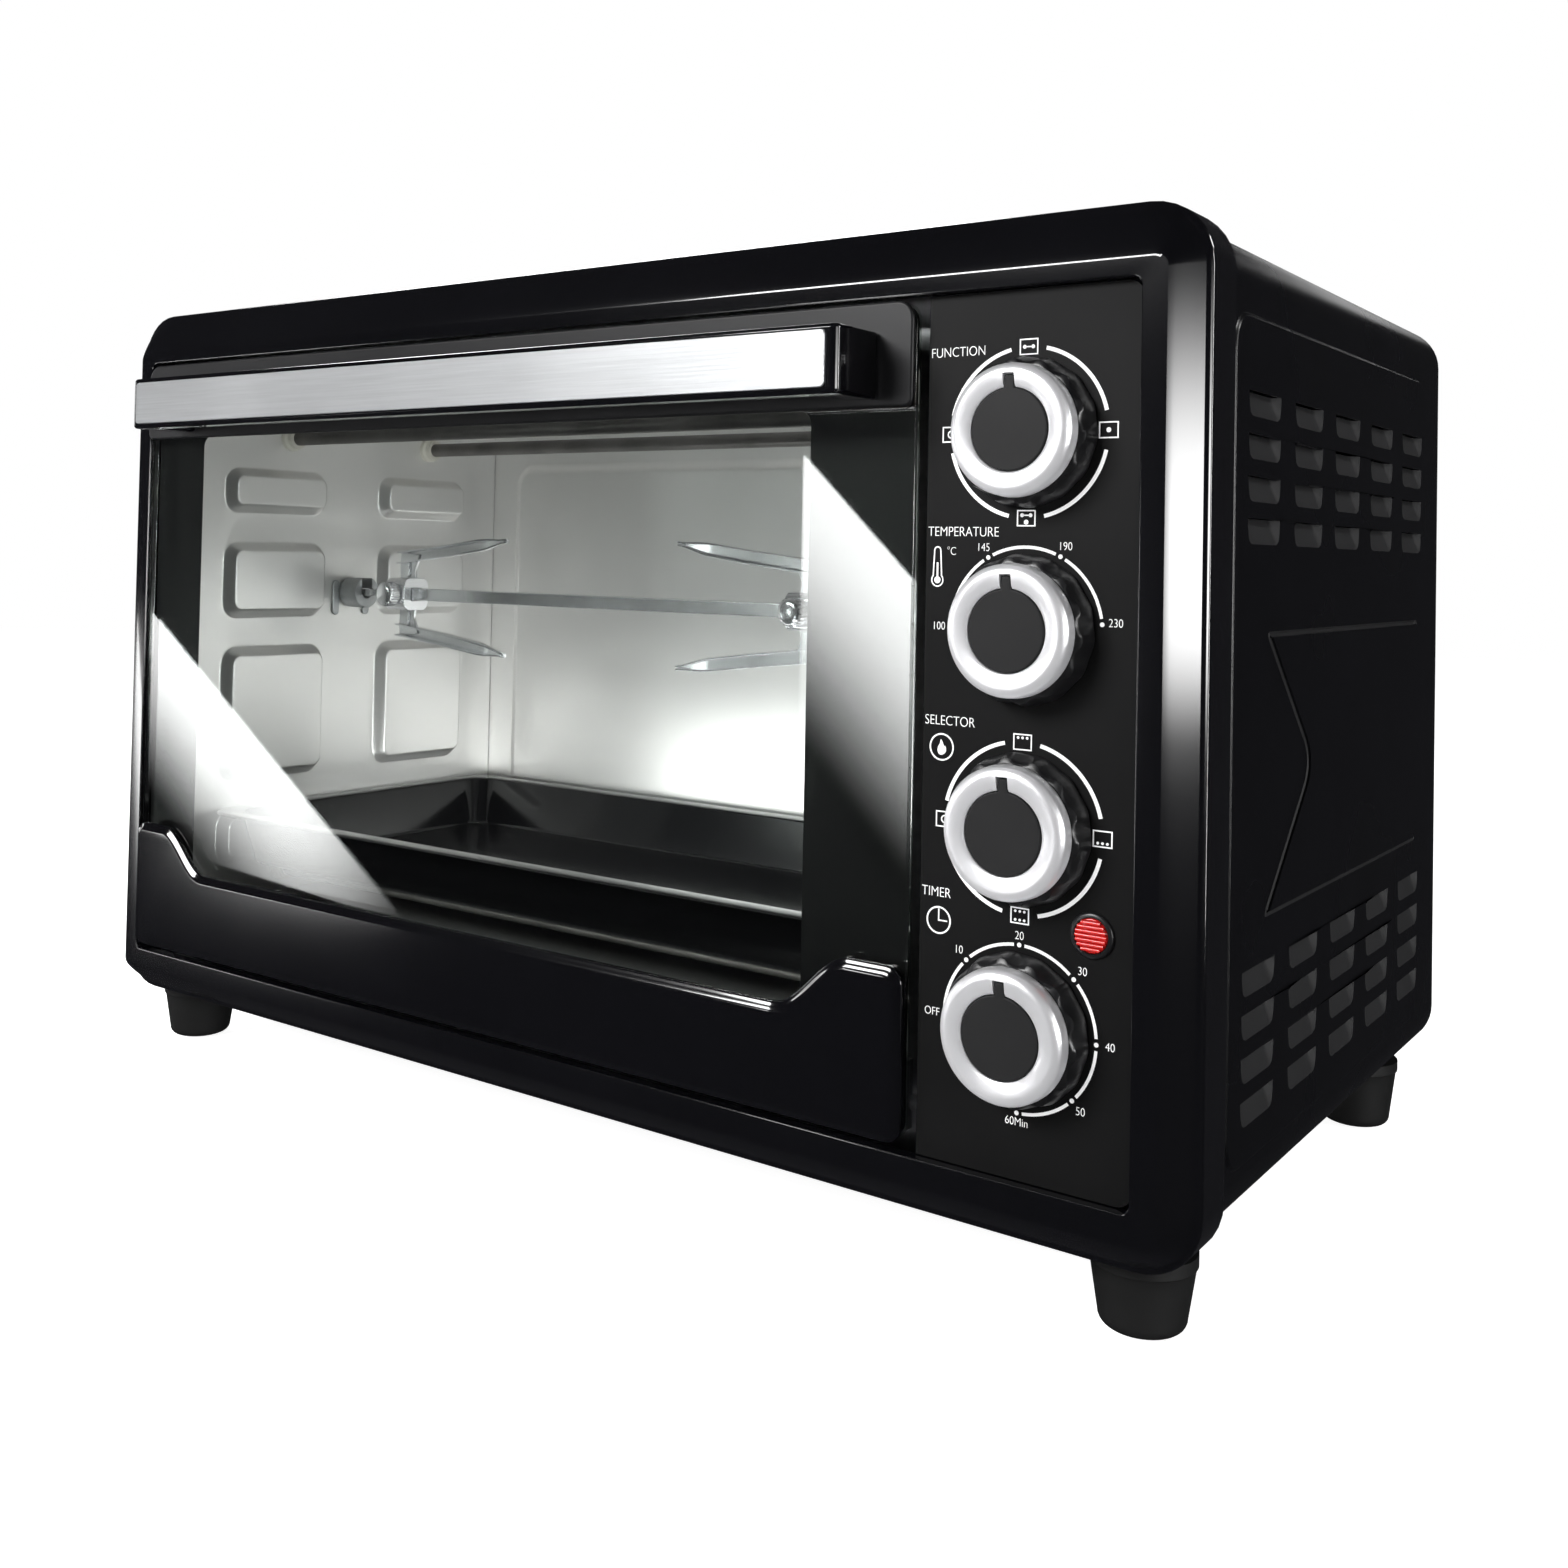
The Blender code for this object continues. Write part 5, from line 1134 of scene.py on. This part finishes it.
def sign(form, name, x, z, low, high):
    """The small picture under a knob's name: thermometer, flame or clock."""
    def shape(*outlines):
        form.plate([[(x + a, z + b) for a, b in outline] for outline in outlines], front, low, high)

    if name == "temperature":
        tube = arc((0, -0.0045), 0.0022, -220, 40, 20) + arc((0, 0.0048), 0.0013, 0, 180, 8)
        shape(tube, inset(tube, 0.0004))
        shape(circle((0, -0.0045), 0.0011, 20))
        shape(rounded(-0.0003, 0.0003, -0.0036, 0.0010, 0))
        return
    shape(circle((0, 0), 0.0043, 36), circle((0, 0), 0.0038, 36))
    if name == "selector":
        flame = [(-0.0002, -0.0026), (0.0012, -0.0020), (0.0017, -0.0006), (0.0012, 0.0006),
                 (0.0008, 0.0001),
                 (0.0005, 0.0012), (-0.0004, 0.0027), (-0.0005, 0.0013), (-0.0013, 0.0000),
                 (-0.0015, -0.0012),
                 (-0.0011, -0.0022)]
        shape(softened(flame, 1))
    else:
        shape(rounded(-0.0002, 0.0002, -0.0002, 0.0036, 0))
        shape(rounded(0.0002, 0.0030, -0.0002, 0.0002, 0))


def make_marks(size):
    """Printed arcs, pictures, numbers and plain words round the four knobs."""
    high = PANEL_FACE
    low = high - size.print_height
    radius, width, letters, narrow = size.mark_radius, size.mark_width, size.letter_size, size.letter_width
    pictures = {
        "function": ("spit", "fan", "spit_fan", "off"),
        "selector": ("upper", "lower", "both", "off"),
    }
    numbers = {
        "temperature": (("100", -90), ("145", -30), ("190", 27), ("230", 84)),
        "timer": (("OFF", -90), ("10", -45), ("20", 0), ("30", 45), ("40", 90), ("50", 135), ("60Min", 180)),
    }
    names = {"function": 0.0258, "temperature": 0.0296, "selector": 0.0306, "timer": 0.0372}
    signs = {"temperature": 0.0190, "selector": 0.0224, "timer": 0.0286}
    left = FASCIA_LOW.x + 0.0006
    for name in CONTROLS:
        x, z = knob_centre(name)
        form = Form()
        if name in pictures:
            for quarter, kind in enumerate(pictures[name]):
                turn = math.radians(90 * quarter)
                icon(form, x + radius * math.sin(turn), z + radius * math.cos(turn), kind, low, high)
                band(form, (x, z), radius, width, 90 * quarter + 13, 90 * quarter + 77, low, high)
        if name in numbers:
            ring = radius - 0.0010
            places = [angle for _, angle in numbers[name]]
            for first, second in zip(places, places[1:]):
                band(form, (x, z), ring, width * 0.8, first + 4, second - 4, low, high)
            for text, angle in numbers[name]:
                turn = math.radians(angle)
                dot = (x + ring * math.sin(turn), z + ring * math.cos(turn))
                form.plate([circle(dot, width * 0.6, 14)], front, low, high)
                out = ring + 0.0027 + 0.0016 * abs(math.sin(turn))
                form.words(text, letters * 0.82, x + out * math.sin(turn), z + out * math.cos(turn), high,
                           size.print_height, narrow=narrow)
        form.words(name.upper(), letters, left, z + names[name], high, size.print_height, "LEFT", narrow)
        if name in signs:
            sign(form, name, left + (0.0036 if name == "temperature" else 0.0062), z + signs[name], low,
                 high)
        if name == "temperature":
            form.words("\u00b0C", letters * 0.82, left + 0.0085, z + signs[name] + 0.0045, high,
                       size.print_height,
                       narrow=narrow)
        form.piece(f"{name}_marks", "chassis", "panel_matt", LOOKS["print"], sharp=30)


class OVEN_OT_controls(bpy.types.Operator):
    """Control panel, marks, lamp and the four knobs"""
    bl_idname = "oven.controls"
    bl_label = "Controls"

    def execute(self, context):
        size = context.scene.oven_controls
        make_control_panel()
        make_lamp()
        make_marks(size)
        for name in CONTROLS:
            make_knob(size, name)
            keep("spring", f"{name}_shaft")
        keep("plastic", "function_switch", "thermostat", "selector_switch", "timer_unit")
        return {"FINISHED"}


# --- Door ---------------------------------------------------------------------------------------

def make_pane(size):
    """Toughened glass with ground edges, and the black print that frames its clear window."""
    outline = rounded(PANE_LOW.x, PANE_HIGH.x, PANE_LOW.z, PANE_HIGH.z, 0.006, 8)
    form = Form()
    form.plate([outline], front, PANE_LOW.y, PANE_HIGH.y)
    form.piece("door_pane", "door", "door_glass", LOOKS["glass"], ("door_glass",), edge=0.0005)
    window = rounded(
        PANE_LOW.x + size.window_left, PANE_HIGH.x - size.window_right,
        PANE_LOW.z + size.window_foot, PANE_HIGH.z - size.window_top, 0.005, 8,
    )
    form = Form()
    form.plate([inset(outline, 0.0012), window], front, PANE_HIGH.y + 0.00005, PANE_HIGH.y + 0.0002)
    form.piece("door_print", "door", "door_gloss", LOOKS["printed"])


def make_trim(size):
    """Satin rail along the top and glossy shaped sill along the foot."""
    low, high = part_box("door_upper_rail")
    form = Form()
    form.plate([rounded(low.x, high.x, low.z, high.z, (0.003, 0.006, 0.006, 0.003))], front, low.y, high.y)
    form.piece("door_rail", "door", "door_rail", LOOKS["rail"], ("door_upper_rail",), edge=0.0009, steps=3)

    low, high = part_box("door_lower_panel")
    ridge, valley = high.z, high.z - size.sill_rise
    steps = 14

    def rise(from_x, to_x, from_z, to_z):
        return [(mix(from_x, to_x, i / steps), mix(from_z, to_z, (1 - math.cos(math.pi * i / steps)) / 2))
                for i in range(steps + 1)]

    inner = size.sill_shoulder + size.sill_run
    corner = 0.006
    outline = arc((high.x - corner, low.z + corner), corner, -90, 0, 6)
    outline += arc((high.x - corner, ridge - corner), corner, 0, 90, 6)
    outline += rise(high.x - size.sill_shoulder, high.x - inner, ridge, valley)
    outline += rise(low.x + inner, low.x + size.sill_shoulder, valley, ridge)
    outline += arc((low.x + corner, ridge - corner), corner, 90, 180, 6)
    outline += arc((low.x + corner, low.z + corner), corner, 180, 270, 6)
    back, face = high.y, low.y
    rings = [[front(a, b, back) for a, b in outline], [front(a, b, face + 0.0010) for a, b in outline]]
    for turn in (30, 60, 90):
        drawn = inset(outline, 0.0010 * (1 - math.cos(math.radians(turn))))
        rings.append([front(a, b, face + 0.0010 * (1 - math.sin(math.radians(turn)))) for a, b in drawn])
    for share in (0.25, 0.5, 0.75, 1.0):
        drawn = inset(outline, 0.0010 + 0.0024 * share)
        rings.append([front(a, b, face - size.sill_crown * math.sin(share * math.pi / 2)) for a, b in drawn])
    form = Form().loft(rings, caps=False)
    form.fill([outline], front, back)
    form.fill([inset(outline, 0.0034)], front, face - size.sill_crown)
    form.piece("door_sill", "door", "door_gloss", LOOKS["gloss"], ("door_lower_panel",), sharp=40)


def make_handle(size):
    """Bar with ends that turn back to the door, and a brushed plate along its face."""
    low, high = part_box("door_handle")
    thick, post = 0.0090, 0.0120
    bend, inner = size.handle_corner, size.handle_corner * 0.6
    outline = [(low.x, high.y)] + arc((low.x + bend, low.y + bend), bend, 180, 270, 8)
    outline += arc((high.x - bend, low.y + bend), bend, 270, 360, 8) + [(high.x, high.y),
                                                                        (high.x - post, high.y)]
    outline += arc((high.x - post - inner, low.y + thick + inner), inner, 360, 270, 6)
    outline += arc((low.x + post + inner, low.y + thick + inner), inner, 270, 180,
                   6) + [(low.x + post, high.y)]
    form = Form()
    form.plate([outline], level, low.z, high.z)
    form.piece("handle_bar", "door", "door_gloss", LOOKS["gloss"], ("door_handle",), edge=0.0014, steps=3)
    low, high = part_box("handle_plate")
    plate = rounded(low.x + size.handle_corner * 0.7, high.x - size.handle_corner * 0.7, low.z, high.z,
                    0.0016, 4)
    form = Form()
    form.plate([plate], front, low.y, high.y + 0.0003)
    form.piece("handle_inlay", "door", "handle_silver", LOOKS["silver"], ("handle_plate",), edge=0.0002)


class OVEN_OT_door(bpy.types.Operator):
    """Glass door with its rail, sill, handle and hinges"""
    bl_idname = "oven.door"
    bl_label = "Door"

    def execute(self, context):
        size = context.scene.oven_door
        make_pane(size)
        make_trim(size)
        make_handle(size)
        keep("zinc", "hinge_arm_left", "hinge_arm_right", "hinge_block_left", "hinge_block_right")
        keep("spring", "door_spring")
        return {"FINISHED"}


# --- Stage --------------------------------------------------------------------------------------

def lamp(name, place, aim, size, power):
    """A soft rectangular light that points at aim."""
    light = bpy.data.lights.new(name, "AREA")
    light.shape = "RECTANGLE"
    light.size, light.size_y = size
    light.energy = power
    holder = bpy.data.objects.new(name, light)
    holder.location = place
    holder.rotation_euler = (Vector(aim) - Vector(place)).to_track_quat("-Z", "Y").to_euler()
    bpy.context.scene.collection.objects.link(holder)
    return holder


class OVEN_OT_stage(bpy.types.Operator):
    """Pale floor, soft lights, pale world and the camera"""
    bl_idname = "oven.stage"
    bl_label = "Stage"

    def execute(self, context):
        scene = context.scene
        scene.view_settings.view_transform = "Standard"
        self.make_floor(scene)
        self.make_world(scene)
        lamp("front_softbox", (-0.70, -1.75, 1.20), (0, -0.1, 0.15), (1.0, 0.7), 50)
        lamp("rim_strip", (2.30, 0.22, 0.42), (0.26, -0.13, 0.2), (0.10, 1.5), 14)
        lamp("left_strip", (-2.40, -0.62, 0.35), (-0.2, -0.14, 0.2), (0.15, 1.0), 5)
        lamp("edge_softbox", (-1.55, 1.25, 1.75), (0, -0.1, 0.3), (1.6, 0.4), 22)
        lamp("side_softbox", (1.90, 0.70, 1.50), (0.257, 0, 0.2), (0.5, 0.5), 11)
        lamp("top_edge_strip", (0.06, 1.75, 0.88), (0.25, 0, 0.32), (0.5, 0.12), 0.4)
        inside = (((-0.06, -0.06, 0.098), (-0.06, 0.10, 0.105), 0.28),
                  ((0.06, -0.03, 0.17), (-0.2345, -0.02, 0.20), 0.18))
        for number, (place, aim, power) in enumerate(inside):
            glow = lamp(f"cavity_glow_{number}", place, aim, (0.26, 0.03), power)
            glow.visible_camera = False
            glow.visible_transmission = False
        self.make_card(
            "streak_left", [(-2.985, -2, 0.065), (-2.08, -2, -0.54), (-2.72, -2, -0.50),
                            (-2.985, -2, -0.41)],
            [((-0.551, 0, -0.834), 1.95, 1.60), ((0.834, 0, -0.551), -1.40, -1.95)], 15,
        )
        self.make_card(
            "streak_right", [(-1.118, -2, 0.407), (-0.891, -2, 0.19), (-0.891, -2, -0.35),
                             (-1.118, -2, -0.10)],
            [((-0.69, 0, -0.724), 0.84, 0.48)], 15,
        )
        self.make_card(
            "chamfer_card", [(2.244, -0.35, -0.05), (1.873, -1.316, -0.05), (1.873, -1.316, 0.75),
                             (2.244, -0.35, 0.75)],
            [((0.358, 0.933, 0), -0.56, -0.38), ((0, 0, 1), -0.04, 0.16), ((0, 0, -1), -0.68, -0.28)], 20,
        )
        self.make_camera(scene)
        return {"FINISHED"}

    def make_floor(self, scene):
        """A round pale floor that glows a little, so that it fades into the background."""
        form = Form()
        cage = form.cage
        bmesh.ops.create_circle(cage, cap_ends=True, segments=96, radius=4.0)
        mesh = bpy.data.meshes.new("studio_floor")
        cage.to_mesh(mesh)
        cage.free()
        look = surface("floor_white", (0.86, 0.86, 0.86), 0.7, cloud=0.01, cloud_scale=2)
        shader = look.node_tree.nodes["Principled BSDF"]
        shader.inputs["Emission Color"].default_value = (1, 1, 1, 1)
        shader.inputs["Emission Strength"].default_value = 0.95
        mesh.materials.append(look)
        floor = bpy.data.objects.new("studio_floor", mesh)
        floor.location.z = -0.0004
        floor.visible_glossy = False
        scene.collection.objects.link(floor)

    def make_card(self, name, corners, ramps, strength):
        """A glowing reflector that only gloss shows; each ramp is (direction, dark at, bright at)."""
        mesh = bpy.data.meshes.new(name)
        mesh.from_pydata(corners, [], [tuple(range(len(corners)))])
        look = bpy.data.materials.new(name)
        look.use_nodes = True
        nodes, links = look.node_tree.nodes, look.node_tree.links
        nodes.remove(nodes["Principled BSDF"])
        glow = nodes.new("ShaderNodeEmission")
        place = nodes.new("ShaderNodeTexCoord").outputs["Object"]
        power = None
        for direction, dark, bright in ramps:
            measure = nodes.new("ShaderNodeVectorMath")
            measure.operation = "DOT_PRODUCT"
            measure.inputs[1].default_value = direction
            ranged = nodes.new("ShaderNodeMapRange")
            ranged.interpolation_type = "SMOOTHSTEP"
            rising = bright > dark
            values = (dark, bright, 0, 1) if rising else (bright, dark, 1, 0)
            for key, value in zip(("From Min", "From Max", "To Min", "To Max"), values):
                ranged.inputs[key].default_value = value
            scaled = nodes.new("ShaderNodeMath")
            scaled.operation = "MULTIPLY"
            scaled.inputs[1].default_value = strength
            links.new(place, measure.inputs[0])
            links.new(measure.outputs["Value"], ranged.inputs["Value"])
            links.new(ranged.outputs["Result"], scaled.inputs[0])
            if power:
                links.new(power, scaled.inputs[1])
            power = scaled.outputs["Value"]
        links.new(power, glow.inputs["Strength"])
        links.new(glow.outputs["Emission"], nodes["Material Output"].inputs["Surface"])
        mesh.materials.append(look)
        card = bpy.data.objects.new(name, mesh)
        card.visible_camera = False
        card.visible_diffuse = False
        bpy.context.scene.collection.objects.link(card)

    def make_world(self, scene):
        """White behind the oven, and a dim grey that lights and reflects."""
        world = bpy.data.worlds.new("studio")
        scene.world = world
        world.use_nodes = True
        nodes, links = world.node_tree.nodes, world.node_tree.links
        backdrop = nodes["Background"]
        backdrop.inputs["Color"].default_value = (1, 1, 1, 1)
        room = nodes.new("ShaderNodeBackground")
        room.inputs["Color"].default_value = (0.022, 0.022, 0.024, 1)
        seen = nodes.new("ShaderNodeLightPath")
        mixed = nodes.new("ShaderNodeMixShader")
        links.new(seen.outputs["Is Camera Ray"], mixed.inputs["Fac"])
        links.new(room.outputs["Background"], mixed.inputs[1])
        links.new(backdrop.outputs["Background"], mixed.inputs[2])
        links.new(mixed.outputs["Shader"], nodes["World Output"].inputs["Surface"])

    def make_camera(self, scene):
        """Right of the front, a little over the oven's middle."""
        turn, tilt, roll = math.radians(36.22), math.radians(1.31), math.radians(1.18)
        ahead = Vector((-math.sin(turn) * math.cos(tilt), math.cos(turn) * math.cos(tilt), math.sin(tilt)))
        data = bpy.data.cameras.new("camera")
        data.sensor_width = 36
        data.lens = 36.99
        data.shift_x = 0.0325
        data.shift_y = -0.169
        data.clip_start = 0.01
        camera = bpy.data.objects.new("camera", data)
        camera.location = (0.4222, -0.5868, 0.2305)
        facing = ahead.to_track_quat("-Z", "Y").to_euler()
        facing.rotate_axis("Z", roll)
        camera.rotation_euler = facing
        scene.collection.objects.link(camera)
        scene.camera = camera


class OVEN_OT_finishes(bpy.types.Operator):
    """Makes every material of the oven"""
    bl_idname = "oven.finishes"
    bl_label = "Finishes"

    def execute(self, context):
        make_looks(context.scene.oven_finishes)
        return {"FINISHED"}


class OVEN_PT_maker(bpy.types.Panel):
    """The oven's sizes and colours, under the step that uses them"""
    bl_idname = "OVEN_PT_maker"
    bl_label = "Rotisserie Oven"
    bl_space_type = "VIEW_3D"
    bl_region_type = "UI"
    bl_category = "Oven"

    def draw(self, context):
        for name, _, step in STEPS:
            column = self.layout.column(align=True)
            column.operator(step)
            if name:
                sizes = getattr(context.scene, name)
                for key in sizes.__annotations__:
                    column.prop(sizes, key)


STEPS = (
    ("oven_finishes", FinishColours, "oven.finishes"),
    ("oven_casing", CasingSizes, "oven.casing"),
    ("oven_cavity", CavitySizes, "oven.cavity"),
    ("oven_spit", SpitSizes, "oven.spit"),
    ("oven_controls", ControlSizes, "oven.controls"),
    ("oven_door", DoorSizes, "oven.door"),
    (None, None, "oven.stage"),
)
CLASSES = (
    CasingSizes, DoorSizes, ControlSizes, CavitySizes, SpitSizes, FinishColours, OVEN_OT_finishes,
    OVEN_OT_casing, OVEN_OT_cavity, OVEN_OT_spit, OVEN_OT_controls, OVEN_OT_door, OVEN_OT_stage,
    OVEN_PT_maker,
)


def register():
    for made in CLASSES:
        bpy.utils.register_class(made)
    for name, group, _ in STEPS:
        if name:
            setattr(bpy.types.Scene, name, PointerProperty(type=group))


def unregister():
    for name, _, _ in STEPS:
        if name:
            delattr(bpy.types.Scene, name)
    for made in reversed(CLASSES):
        bpy.utils.unregister_class(made)


def main():
    """Build the oven step by step."""
    register()
    for _, _, step in STEPS:
        group, action = step.split(".")
        getattr(getattr(bpy.ops, group), action)()


if __name__ == "__main__":
    main()
